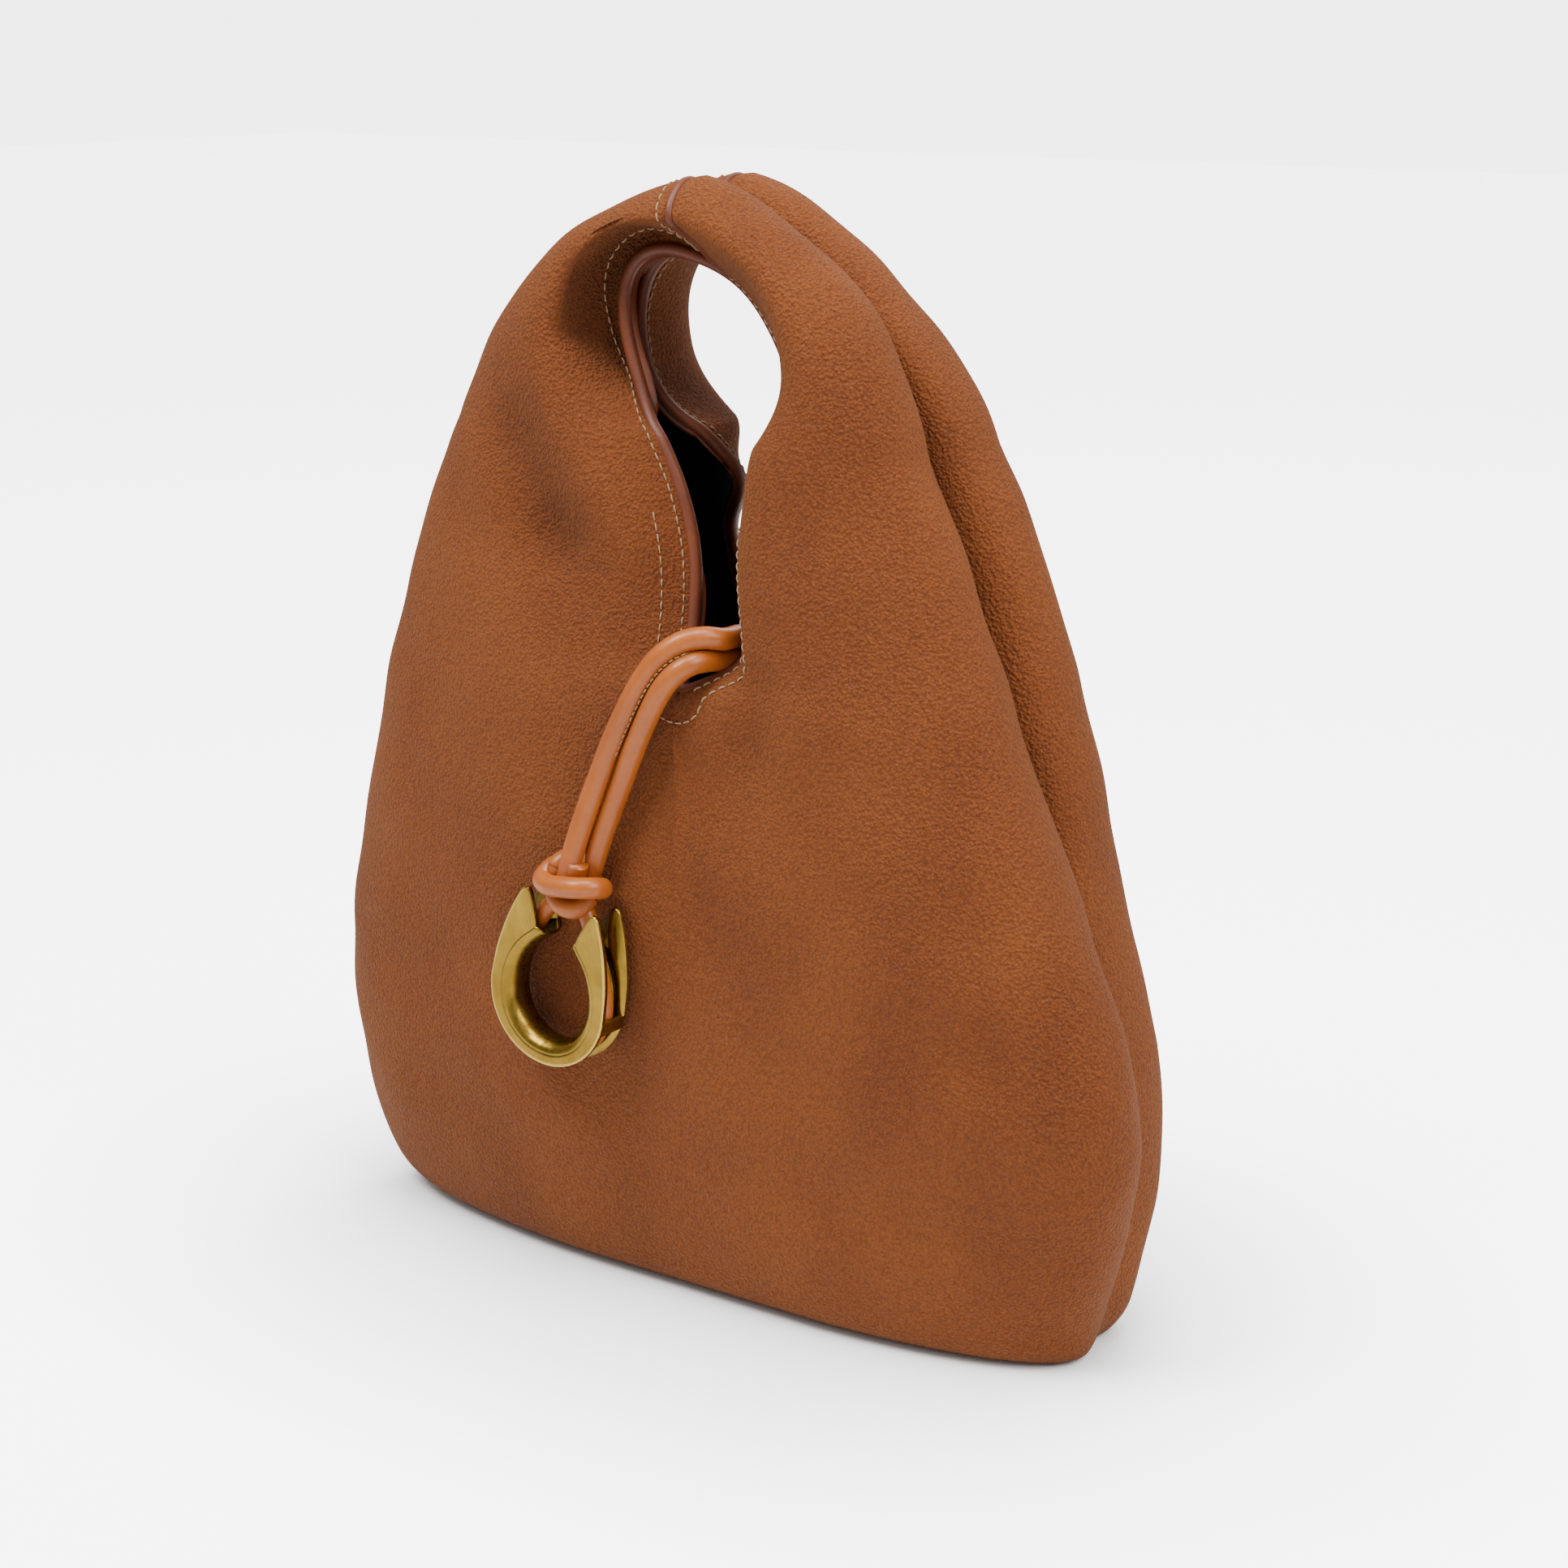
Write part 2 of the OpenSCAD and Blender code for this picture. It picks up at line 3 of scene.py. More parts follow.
import bmesh
import bpy
import numpy as np
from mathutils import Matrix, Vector


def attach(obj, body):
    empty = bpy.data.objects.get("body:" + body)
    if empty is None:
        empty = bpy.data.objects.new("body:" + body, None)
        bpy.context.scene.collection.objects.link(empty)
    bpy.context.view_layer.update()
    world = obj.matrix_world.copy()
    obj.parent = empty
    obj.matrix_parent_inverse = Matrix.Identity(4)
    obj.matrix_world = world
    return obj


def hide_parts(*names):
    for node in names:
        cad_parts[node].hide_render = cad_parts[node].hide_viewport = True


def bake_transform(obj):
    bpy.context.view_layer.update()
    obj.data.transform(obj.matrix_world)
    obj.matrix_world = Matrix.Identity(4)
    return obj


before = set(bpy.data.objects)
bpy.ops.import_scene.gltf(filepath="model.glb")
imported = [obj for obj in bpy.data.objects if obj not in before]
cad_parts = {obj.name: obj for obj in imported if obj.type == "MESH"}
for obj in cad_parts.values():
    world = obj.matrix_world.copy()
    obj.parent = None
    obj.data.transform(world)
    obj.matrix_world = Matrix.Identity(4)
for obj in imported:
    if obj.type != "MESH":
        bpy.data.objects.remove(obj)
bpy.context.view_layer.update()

MM = 0.001
LEFT, RIGHT = 0, 1
FRONT, REAR = 0, 1


# ---------- small helpers ----------

def link(obj):
    bpy.context.scene.collection.objects.link(obj)
    return obj


def mesh_object(name, verts, faces, smooth=True):
    """An object from points in millimetres."""
    mesh = bpy.data.meshes.new(name)
    mesh.from_pydata([tuple(v) for v in np.asarray(verts, float) * MM], [], faces)
    mesh.validate()
    if smooth:
        mesh.polygons.foreach_set("use_smooth", [True] * len(mesh.polygons))
    mesh.update()
    return link(bpy.data.objects.new(name, mesh))


def unit(v):
    v = np.asarray(v, float)
    return v / np.maximum(np.linalg.norm(v, axis=-1, keepdims=True), 1e-9)


def finish_piece(obj, material, body, slot, *nodes):
    """Gives a piece its material and the body it rides on, and hides the CAD nodes it stands for; the slot is
    not used.
    """
    obj.data.materials.clear()
    obj.data.materials.append(material)
    if body:
        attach(obj, body)
    if nodes:
        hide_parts(*nodes)
    return obj


def apply_modifiers(obj):
    bpy.context.view_layer.update()
    done = bpy.data.meshes.new_from_object(obj.evaluated_get(bpy.context.evaluated_depsgraph_get()))
    obj.modifiers.clear()
    old = obj.data
    obj.data = done
    bpy.data.meshes.remove(old)
    obj.data.polygons.foreach_set("use_smooth", [True] * len(obj.data.polygons))


# ---------- camera, floor and lights ----------

AIM = Vector((0.0147, 0.0, 0.158))
CAMERA_DISTANCE = 0.9
# Strength of the white world as a light, and as the camera sees it
WORLD_LIGHT = 0.5
WORLD_SEEN = 4.6
FLOOR_SIZE = 6.0
FLOOR_GLOW = 4.6
# How far from the object the floor's soft shadow reaches (m), and how fast it darkens
SHADOW_REACH = 0.14
SHADOW_DEPTH = 3.0


def towards(azimuth, elevation):
    """Unit vector from the object towards a viewer; azimuth 0 is the front, growing to the right."""
    a, e = math.radians(azimuth), math.radians(elevation)
    return Vector((math.sin(a) * math.cos(e), -math.cos(a) * math.cos(e), math.sin(e)))


def look_at(obj, target):
    obj.rotation_euler = (Vector(target) - obj.location).to_track_quat("-Z", "Y").to_euler()


def add_camera():
    camera = link(bpy.data.objects.new("camera", bpy.data.cameras.new("camera")))
    camera.data.sensor_width = 36
    camera.data.lens = 67.08
    camera.data.clip_end = 20
    camera.location = AIM + towards(35, 15) * CAMERA_DISTANCE
    look_at(camera, AIM)
    bpy.context.scene.camera = camera


def add_light(name, azimuth, elevation, distance, size, power, colour=(1, 1, 1)):
    data = bpy.data.lights.new(name, "AREA")
    data.shape = "DISK"
    data.size = size
    data.energy = power
    data.color = colour
    lamp = link(bpy.data.objects.new(name, data))
    lamp.location = AIM + towards(azimuth, elevation) * distance
    look_at(lamp, AIM)


def add_studio():
    world = bpy.data.worlds.new("studio")
    world.use_nodes = True
    tree = world.node_tree
    tree.nodes["Background"].inputs["Color"].default_value = (1, 1, 1, 1)
    path = tree.nodes.new("ShaderNodeLightPath")
    seen = tree.nodes.new("ShaderNodeMapRange")
    seen.inputs["To Min"].default_value = WORLD_LIGHT
    seen.inputs["To Max"].default_value = WORLD_SEEN
    tree.links.new(path.outputs["Is Camera Ray"], seen.inputs["Value"])
    tree.links.new(seen.outputs["Result"], tree.nodes["Background"].inputs["Strength"])
    bpy.context.scene.world = world
    add_light("key", -30, 58, 1.5, 0.7, 26)
    add_light("fill", 85, 40, 1.8, 1.2, 34)
    add_light("top", 50, 80, 1.5, 0.7, 18)
    add_light("back", 200, 40, 1.8, 1.0, 9)


def add_floor():
    size = FLOOR_SIZE
    mesh = bpy.data.meshes.new("floor")
    corners = [(-size, -size, 0), (size, -size, 0), (size, size, 0), (-size, size, 0)]
    mesh.from_pydata(corners, [], [(0, 1, 2, 3)])
    floor = link(bpy.data.objects.new("floor", mesh))
    material = bpy.data.materials.new("floor")
    material.use_nodes = True
    shader = material.node_tree.nodes["Principled BSDF"]
    shader.inputs["Base Color"].default_value = (0.9, 0.9, 0.9, 1)
    shader.inputs["Roughness"].default_value = 0.9
    shader.inputs["Emission Color"].default_value = (1, 1, 1, 1)
    # The camera sees the floor lit evenly, but for a soft shadow where the object encloses it
    path = material.node_tree.nodes.new("ShaderNodeLightPath")
    glow = material.node_tree.nodes.new("ShaderNodeMath")
    glow.operation = "MULTIPLY"
    glow.inputs[1].default_value = FLOOR_GLOW
    near = material.node_tree.nodes.new("ShaderNodeAmbientOcclusion")
    near.inputs["Distance"].default_value = SHADOW_REACH
    shade = material.node_tree.nodes.new("ShaderNodeMath")
    shade.operation = "POWER"
    shade.inputs[1].default_value = SHADOW_DEPTH
    material.node_tree.links.new(near.outputs["AO"], shade.inputs[0])
    seen = material.node_tree.nodes.new("ShaderNodeMath")
    seen.operation = "MULTIPLY"
    material.node_tree.links.new(path.outputs["Is Camera Ray"], seen.inputs[0])
    material.node_tree.links.new(shade.outputs["Value"], seen.inputs[1])
    material.node_tree.links.new(seen.outputs["Value"], glow.inputs[0])
    material.node_tree.links.new(glow.outputs["Value"], shader.inputs["Emission Strength"])
    floor.data.materials.append(material)


add_camera()
add_studio()
add_floor()


# ---------- materials ----------

class Nodes:
    """A short way to write a procedural material."""

    def __init__(self, name):
        self.material = bpy.data.materials.new(name)
        self.material.use_nodes = True
        self.tree = self.material.node_tree
        self.shader = self.tree.nodes["Principled BSDF"]
        self.place = self.add("ShaderNodeTexCoord").outputs["Object"]

    def add(self, kind, **settings):
        node = self.tree.nodes.new(kind)
        for key, value in settings.items():
            setattr(node, key, value)
        return node

    def wire(self, a, b):
        self.tree.links.new(a, b)

    def noise(self, scale, detail=3, rough=0.55, place=None):
        node = self.add("ShaderNodeTexNoise")
        node.inputs["Scale"].default_value = scale
        node.inputs["Detail"].default_value = detail
        node.inputs["Roughness"].default_value = rough
        self.wire(place or self.place, node.inputs["Vector"])
        return node.outputs["Fac"]

    def cells(self, scale):
        """Distance from the middle of the nearest pebble of a grain."""
        node = self.add("ShaderNodeTexVoronoi", feature="SMOOTH_F1")
        node.inputs["Scale"].default_value = scale
        self.wire(self.place, node.inputs["Vector"])
        return node.outputs["Distance"]

    def stretched(self, factors):
        node = self.add("ShaderNodeMapping")
        node.inputs["Scale"].default_value = factors
        self.wire(self.place, node.inputs["Vector"])
        return node.outputs["Vector"]

    def span(self, value, low, high, to_low=0.0, to_high=1.0):
        node = self.add("ShaderNodeMapRange")
        for key, number in (("From Min", low), ("From Max", high), ("To Min", to_low), ("To Max", to_high)):
            node.inputs[key].default_value = number
        self.wire(value, node.inputs["Value"])
        return node.outputs["Result"]

    def maths(self, operation, a, b):
        node = self.add("ShaderNodeMath", operation=operation)
        for slot, value in enumerate((a, b)):
            if isinstance(value, (int, float)):
                node.inputs[slot].default_value = value
            else:
                self.wire(value, node.inputs[slot])
        return node.outputs["Value"]

    def blend(self, factor, a, b, mode="MIX"):
        node = self.add("ShaderNodeMix", data_type="RGBA", blend_type=mode)
        for key, value in (("Factor", factor), ("A", a), ("B", b)):
            index = {"Factor": 0, "A": 6, "B": 7}[key]
            if isinstance(value, (int, float)):
                node.inputs[index].default_value = value
            elif isinstance(value, tuple):
                node.inputs[index].default_value = (*value, 1)
            else:
                self.wire(value, node.inputs[index])
        return node.outputs[2]

    def attribute(self, name):
        return self.add("ShaderNodeAttribute", attribute_name=name).outputs["Fac"]

    def bump(self, height, strength, distance, below=None):
        node = self.add("ShaderNodeBump")
        node.inputs["Strength"].default_value = strength
        node.inputs["Distance"].default_value = distance
        self.wire(height, node.inputs["Height"])
        if below is not None:
            self.wire(below, node.inputs["Normal"])
        return node.outputs["Normal"]

    def set(self, key, value):
        if isinstance(value, (int, float, tuple)):
            self.shader.inputs[key].default_value = value
        else:
            self.wire(value, self.shader.inputs[key])


def nubuck():
    """Brushed nubuck: broad patches of tone, a fine mottled nap, and pebbled grain where it is pressed;
    painted shade darkens the grain's creases and the folds.
    """
    n = Nodes("nubuck")
    patches = n.span(n.noise(14, 4, 0.6), 0.35, 0.65)
    mottle = n.span(n.noise(420, 5, 0.7), 0.36, 0.64)
    speck = n.span(n.noise(1600, 3, 0.7), 0.42, 0.62)
    brushed = n.span(n.noise(26, 5, 0.65, n.stretched((1.0, 1.0, 0.45))), 0.38, 0.66)
    fold_shade_and_grain = n.attribute("fold_shade_and_grain")
    nap = n.attribute("nap")
    base = n.blend(patches, (0.088, 0.0165, 0.0019), (0.112, 0.0235, 0.0028))
    base = n.blend(n.maths("MULTIPLY", mottle, 0.32), base, (0.158, 0.037, 0.0047))
    base = n.blend(n.maths("MULTIPLY", brushed, 0.35), base, (0.17, 0.042, 0.0055))
    base = n.blend(n.maths("MULTIPLY", nap, 0.4), base, (0.185, 0.047, 0.0065))
    base = n.blend(n.maths("MULTIPLY", speck, 0.35), base, (0.28, 0.085, 0.014))
    pebble = n.span(n.cells(1100), 0.08, 0.62)
    creases = n.maths("POWER", pebble, 2.5)
    # Painted shade in the creases between the grain's pebbles
    base = n.blend(n.maths("MULTIPLY", creases, 0.36), base, (0.045, 0.008, 0.0012))
    dark = n.blend(pebble, (0.1, 0.02, 0.0026), (0.04, 0.0075, 0.0012))
    # Painted shade in the folds, darkest in the grain's creases
    base = n.blend(n.maths("MULTIPLY", fold_shade_and_grain, 0.7), base, dark)
    n.set("Base Color", base)
    n.set("Roughness", n.span(mottle, 0, 1, 0.78, 0.93))
    n.set("Specular IOR Level", 0.25)
    n.set("Sheen Weight", 0.06)
    n.set("Sheen Roughness", 0.5)
    n.set("Sheen Tint", (0.95, 0.55, 0.25, 1.0))
    grain = n.maths("MULTIPLY", n.maths("SUBTRACT", 1.0, pebble), n.span(fold_shade_and_grain, 0, 1, 0.6, 1.5))
    fine = n.bump(n.noise(1700, 3, 0.6), 0.5, 0.0005)
    medium = n.bump(grain, 0.95, 0.0008, fine)
    n.set("Normal", n.bump(n.noise(300, 4, 0.65), 0.27, 0.001, medium))
    return n.material


def smooth_leather(name, dark, light, rough, grain=900, coat=0.0):
    n = Nodes(name)
    tone = n.span(n.noise(45, 4, 0.6), 0.35, 0.65)
    fine = n.span(n.noise(500, 3, 0.6), 0.35, 0.7)
    base = n.blend(tone, dark, light)
    n.set("Base Color", n.blend(n.maths("MULTIPLY", fine, 0.25), base, tuple(0.72 * c for c in dark)))
    n.set("Roughness", n.span(fine, 0, 1, rough, rough + 0.12))
    n.set("Coat Weight", coat)
    n.set("Coat Roughness", 0.25)
    n.set("Specular IOR Level", 0.35)
    creases = n.bump(n.cells(grain), 0.18, 0.0003)
    n.set("Normal", n.bump(n.noise(grain * 0.3, 3, 0.6), 0.2, 0.0004, creases))
    return n.material


def lining_cloth():
    n = Nodes("lining_cloth")
    weave = n.noise(2600, 2, 0.5, n.stretched((1.0, 1.0, 0.35)))
    n.set("Base Color", n.blend(n.span(weave, 0.35, 0.65), (0.006, 0.006, 0.007), (0.018, 0.017, 0.017)))
    n.set("Roughness", 0.85)
    n.set("Sheen Weight", 0.1)
    n.set("Normal", n.bump(weave, 0.3, 0.0003))
    return n.material


def thread():
    n = Nodes("thread")
    twist = n.span(n.noise(1800, 2, 0.5), 0.3, 0.7)
    n.set("Base Color", n.blend(twist, (0.22, 0.12, 0.055), (0.36, 0.23, 0.13)))
    n.set("Roughness", 0.6)
    n.set("Normal", n.bump(twist, 0.3, 0.0002))
    return n.material


def webbing():
    n = Nodes("webbing")
    weave = n.noise(1500, 2, 0.5, n.stretched((1.0, 0.4, 1.0)))
    n.set("Base Color", n.blend(n.span(weave, 0.35, 0.65), (0.05, 0.042, 0.035), (0.12, 0.1, 0.085)))
    n.set("Roughness", 0.9)
    n.set("Normal", n.bump(weave, 0.4, 0.0004))
    return n.material


def board():
    n = Nodes("board")
    n.set("Base Color", n.blend(n.span(n.noise(300, 3), 0.3, 0.7), (0.02, 0.02, 0.02), (0.045, 0.043, 0.04)))
    n.set("Roughness", 0.8)
    n.set("Normal", n.bump(n.noise(600, 3), 0.2, 0.0003))
    return n.material


def brass():
    """Antique satin brass: fine brushing and random tone, darker overall, with a painted highlight on the rim
    edges.
    """
    n = Nodes("brass")
    tone = n.span(n.noise(70, 4, 0.6), 0.35, 0.7)
    brush = n.noise(900, 3, 0.6, n.stretched((1.0, 1.0, 0.12)))
    rim_highlight = n.attribute("rim_highlight")
    base = n.blend(tone, (0.2, 0.12, 0.016), (0.34, 0.21, 0.034))
    # Painted highlight along the plates' rim edges
    n.set("Base Color", n.blend(n.maths("MULTIPLY", rim_highlight, 0.85), base, (0.62, 0.42, 0.1)))
    n.set("Metallic", 1.0)
    n.set("Roughness", n.span(brush, 0.3, 0.7, 0.24, 0.38))
    n.set("Normal", n.bump(brush, 0.12, 0.0002))
    return n.material


NUBUCK = nubuck()
BINDING = smooth_leather("binding_leather", (0.1, 0.022, 0.007), (0.15, 0.036, 0.012), 0.42)
CORD = smooth_leather("cord_leather", (0.28, 0.066, 0.0075), (0.38, 0.096, 0.012), 0.3, 700, 0.12)
LINING = lining_cloth()
THREAD = thread()
WEBBING = webbing()
BOARD = board()
BRASS = brass()


# ---------- sweeps ----------

def frames(path, up, closed=False):
    path = np.asarray(path, float)
    if closed:
        along = unit(np.roll(path, -1, axis=0) - np.roll(path, 1, axis=0))
    else:
        along = unit(np.gradient(path, axis=0))
    side = unit(np.cross(along, up))
    return side, np.cross(side, along)


def tube_mesh(path, width, height=None, sides=16, up=(0, 0, 1), closed=False, profile=None):
    """Points and faces of a tube along a path; profile holds (side, up) corners of a section 1 across."""
    height = width if height is None else height
    side, top = frames(path, up, closed)
    if profile is None:
        angles = np.arange(sides) * 2 * math.pi / sides
        profile = np.stack([np.cos(angles), np.sin(angles)], 1) / 2
    n, m = len(path), len(profile)
    verts = (np.asarray(path, float)[:, None] + side[:, None] * profile[None, :, :1] * width
             + top[:, None] * profile[None, :, 1:] * height).reshape(-1, 3)
    faces = []
    for i in range(n if closed else n - 1):
        for k in range(m):
            a, b = i * m + k, i * m + (k + 1) % m
            c, d = ((i + 1) % n) * m + (k + 1) % m, ((i + 1) % n) * m + k
            faces.append((a, b, c, d))
    if not closed:
        faces += [tuple(range(m - 1, -1, -1)), tuple(range((n - 1) * m, n * m))]
    return verts, faces


def join_parts(parts):
    verts, faces, first = [], [], 0
    for v, f in parts:
        verts.append(v)
        faces += [tuple(i + first for i in face) for face in f]
        first += len(v)
    return np.concatenate(verts), faces


def smooth_route(points, steps):
    """Catmull-Rom points through a route."""
    p = np.asarray(points, float)
    out = []
    for i in range(len(p) - 1):
        a, b, c, d = p[max(i - 1, 0)], p[i], p[i + 1], p[min(i + 2, len(p) - 1)]
        for t in np.arange(steps) / steps:
            out.append(b + 0.5 * ((c - a) * t + (2 * a - 5 * b + 4 * c - d) * t**2
                                  + (3 * b - a - 3 * c + d) * t**3))
    return np.array(out + [p[-1]])


# ---------- closure cord, the same route as the CAD's, in metres ----------

CORD_ROUTE = [[0.0155, -0.034, 0.2065], [0.0136, -0.0387, 0.2072], [0.0108, -0.0426, 0.2067],
              [0.0076, -0.0455, 0.2046], [0.0044, -0.0474, 0.2013], [0.0014, -0.0485, 0.197],
              [-0.0015, -0.0491, 0.192], [-0.0044, -0.0495, 0.1864], [-0.0073, -0.0499, 0.1803],
              [-0.0101, -0.0503, 0.1739], [-0.0127, -0.0507, 0.1673], [-0.0151, -0.0516, 0.1606],
              [-0.0173, -0.0526, 0.154], [-0.0193, -0.0537, 0.1474], [-0.021, -0.0546, 0.1411],
              [-0.0224, -0.0552, 0.1355]]
STRAND_IN = [[[0.0165, -0.0265, 0.2095], [0.0172, -0.021, 0.2085], [0.0186, -0.014, 0.204],
              [0.02, -0.004, 0.1935], [0.021, 0.006, 0.18], [0.0215, 0.016, 0.171],
              [0.0215, 0.022, 0.168], [0.0215, 0.029, 0.168]],
             [[0.0165, -0.0265, 0.2025], [0.016, -0.021, 0.2015], [0.014, -0.014, 0.1985],
              [0.0136, -0.004, 0.1895], [0.014, 0.006, 0.1785], [0.0145, 0.016, 0.171],
              [0.0145, 0.022, 0.168], [0.0145, 0.029, 0.168]]]
STRAND_GAP = 3.5
STRAND_D = 6.8
STRAND_TURN = 55
TURN_FROM = 5


def strand(gap):
    """One strand outside the notch, beside the middle line by gap, turning behind it lower down, in mm."""
    route = np.array(CORD_ROUTE) / MM
    along = np.gradient(route, axis=0)
    beside = unit(np.stack([along[:, 2], 0 * along[:, 0], -along[:, 0]], 1))
    behind = unit(np.cross(beside, along))
    last = len(route) - 1
    share = np.maximum(0, np.arange(len(route)) - TURN_FROM) / (last - TURN_FROM)
    turn = np.radians(STRAND_TURN * share)[:, None]
    return route + gap * (beside * np.cos(turn) + behind * np.sin(turn))


def add_cord():
    for name, gap, inside in (("upper", STRAND_GAP, STRAND_IN[0]), ("lower", -STRAND_GAP, STRAND_IN[1])):
        inside = np.array(inside) / MM
        outside = np.concatenate([inside[:1], strand(gap), strand(gap)[-1:] + [[-0.9, -0.9, -4.5]]])
        path = smooth_route(outside, 6)
        piece = mesh_object(f"{name}_strand", *tube_mesh(path, STRAND_D, sides=24, up=(0, 1, 0.2)))
        finish_piece(piece, CORD, None, "cord_leather", "closure_cord_strands")
        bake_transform(piece)
        tail_mesh = tube_mesh(smooth_route(inside, 6), STRAND_D, sides=20, up=(0, 0.3, 1))
        tail = mesh_object(f"{name}_tail", *tail_mesh)
        finish_piece(tail, CORD, "bag", "cord_leather", "cord_tail_strands")


add_cord()


# ---------- loft of the bag, the same rows as the CAD's, in millimetres ----------

HAND_Z = 266
LEAN = 0.063
LEAN_FROM = 90
CENTRE_X = 10.7
ROW_U = np.array([0, 1.5, 12, 45, 90, 140, 170, 192, 203, 230, 250, 266, 292, 318, 344], float)
TOP_U = ROW_U[-1]
SEAM_U = TOP_U - 4
NOTCH_U = ROW_U[7]
FACE = [22, 35, 42, 47, 49, 47, 45, 43, 42, 39.5, 38.3, 37, 34, 30, 27]
RIDGE = [9, 15, 18, 24, 27, 26, 25, 24, 23.5, 22, 21, 20, 18, 15, 13]
VALLEY = [[122, 128, 131, 133, 127, 113, 103, 93, 89, 79.5, 71.5, 65, 58, 58, 64],
          [112, 117, 121, 124, 121, 108, 95, 87, 83.5, 75, 66.5, 60, 55, 56, 64]]
REACH = [[[128, 136, 149, 157, 158, 146, 137, 129, 125, 114, 105, 97, 81, 73, 76],
          [114, 120, 124, 134, 137, 122, 109, 101, 97.5, 88, 79, 72, 70, 67, 76]],
         [[120, 127, 133, 142, 146, 134, 123, 115, 111, 101, 93, 86, 76, 72, 75],
          [112, 117, 123, 127, 124, 113, 107, 102.5, 100.5, 93.5, 86, 78, 67, 66, 75]]]
EDGE = [[[0, 0, 0, 0, 0, 0, 0, 0, 1, 2, 7, 15.5, 30, 57, 46.5],
         [0, 0, 0, 0, 0, 0, 0, 0, 18, 19, 22, 28, 34, 38, 46.5]],
        [[0, 0, 0, 0, 0, 0, 0, 0, 20, 25, 9, 15, 36, 57, 46.5],
         [0, 0, 0, 0, 0, 0, 0, 0, 14, 19, 24.5, 30, 34, 38, 46.5]]]
EDGE_DEPTH = [[[22, 35, 42, 47, 49, 47, 44, 41, 32, 25, 23, 21, 16, 10.5, 4],
               [22, 35, 42, 47, 49, 47, 44, 41, 30, 26, 22, 19, 16, 10, 4]],
              [[22, 35, 42, 47, 49, 47, 41, 34, 32, 27, 12, 0, -4, 1.5, 4],
               [22, 35, 42, 47, 49, 47, 41, 34, 26, 21, 18.5, 16, 10, 5, 4]]]
NECK = [[[30, 32, 35, 40, 42, 42, 38, 34, 32, 29, 30, 32, 42, 60, 56],
         [30, 32, 35, 40, 42, 42, 36, 30, 23, 20, 21, 24, 41, 51, 56]],
        [[30, 32, 35, 40, 42, 42, 38, 35, 33, 32, 22, 12, 36, 53, 56],
         [30, 32, 35, 40, 42, 42, 36, 33.5, 32, 32, 33.5, 36, 46, 54, 56]]]
NECK_DEPTH = [[[22, 35, 42, 47, 49, 47, 45, 43, 41, 36, 32, 28, 20, 18, 18],
               [22, 35, 42, 47, 49, 47, 45, 43, 40, 37.5, 35.5, 33, 28, 22, 18]],
              [[22, 35, 42, 47, 49, 47, 43, 41, 38, 34, 26, 19, 19, 15, 18],
               [22, 35, 42, 47, 49, 47, 43, 41, 38, 34, 31, 28, 22, 20, 18]]]


def at(values, u):
    """Values of one row quantity at distances u, on a smooth curve through the rows."""
    v = np.asarray(values, float)
    i = np.clip(np.searchsorted(ROW_U, u, side="right") - 1, 0, len(ROW_U) - 2)
    low, high = np.maximum(np.arange(len(v)) - 1, 0), np.minimum(np.arange(len(v)) + 1, len(v) - 1)
    slope = (v[high] - v[low]) / (ROW_U[high] - ROW_U[low])
    h = ROW_U[i + 1] - ROW_U[i]
    k = (u - ROW_U[i]) / h
    return ((2 * k**3 - 3 * k**2 + 1) * v[i] + (k**3 - 2 * k**2 + k) * h * slope[i]
            + (3 * k**2 - 2 * k**3) * v[i + 1] + (k**3 - k**2) * h * slope[i + 1])


def section(side, face, u):
    """Control points (reach, half depth) of the half sections at distances u."""
    edge, edge_y = np.maximum(0, at(EDGE[face][side], u)), at(EDGE_DEPTH[face][side], u)
    neck, neck_y = at(NECK[face][side], u), at(NECK_DEPTH[face][side], u)
    reach, seam = at(REACH[face][side], u), at(VALLEY[side], u)
    face_y, ridge_y = at(FACE, u), at(RIDGE, u)
    span = reach - neck
    points = [(edge, edge_y)] * 3 + [
        (neck, neck_y), (neck + 0.28 * span, face_y), (neck + 0.78 * span, 0.65 * face_y + 0.35 * ridge_y),
        (reach + 2, ridge_y), (reach - 2, 0.15 * ridge_y)] + [(seam, 0 * seam + 0.2)] * 3
    return np.array(points).transpose(2, 0, 1)


def spline(controls, s):
    n = controls.shape[1] - 3
    i = np.clip(np.floor(s * n).astype(int), 0, n - 1)
    k = s * n - i
    weights = [(1 - k)**3, 3 * k**3 - 6 * k**2 + 4, 1 + 3 * k + 3 * k**2 - 3 * k**3, k**3]
    return sum(controls[:, i + j] * weights[j][None, :, None] for j in range(4)) / 6


def skin(side, face, s, u):
    """Points of the panel's outer surface, a grid with a row for each u and a column for each s."""
    s, u = np.atleast_1d(np.asarray(s, float)), np.atleast_1d(np.asarray(u, float))
    q = spline(section(side, face, u), s)
    fan = np.radians(90 * np.maximum(0, u - HAND_Z) / (TOP_U - HAND_Z))[:, None]
    z = np.minimum(u, HAND_Z)[:, None] + q[..., 0] * np.sin(fan)
    x = (-1 if side == LEFT else 1) * q[..., 0] * np.cos(fan) - LEAN * np.maximum(0, z - LEAN_FROM) + CENTRE_X
    y = (-1 if face == FRONT else 1) * q[..., 1]
    return np.stack([x, y, z], -1)


def grid_normals(points, side, face):
    du, ds = np.gradient(points, axis=0), np.gradient(points, axis=1)
    turn = (-1 if side == LEFT else 1) * (1 if face == FRONT else -1)
    return turn * unit(np.cross(ds, du))


# ---------- relief: folds and dents pressed into the panels ----------

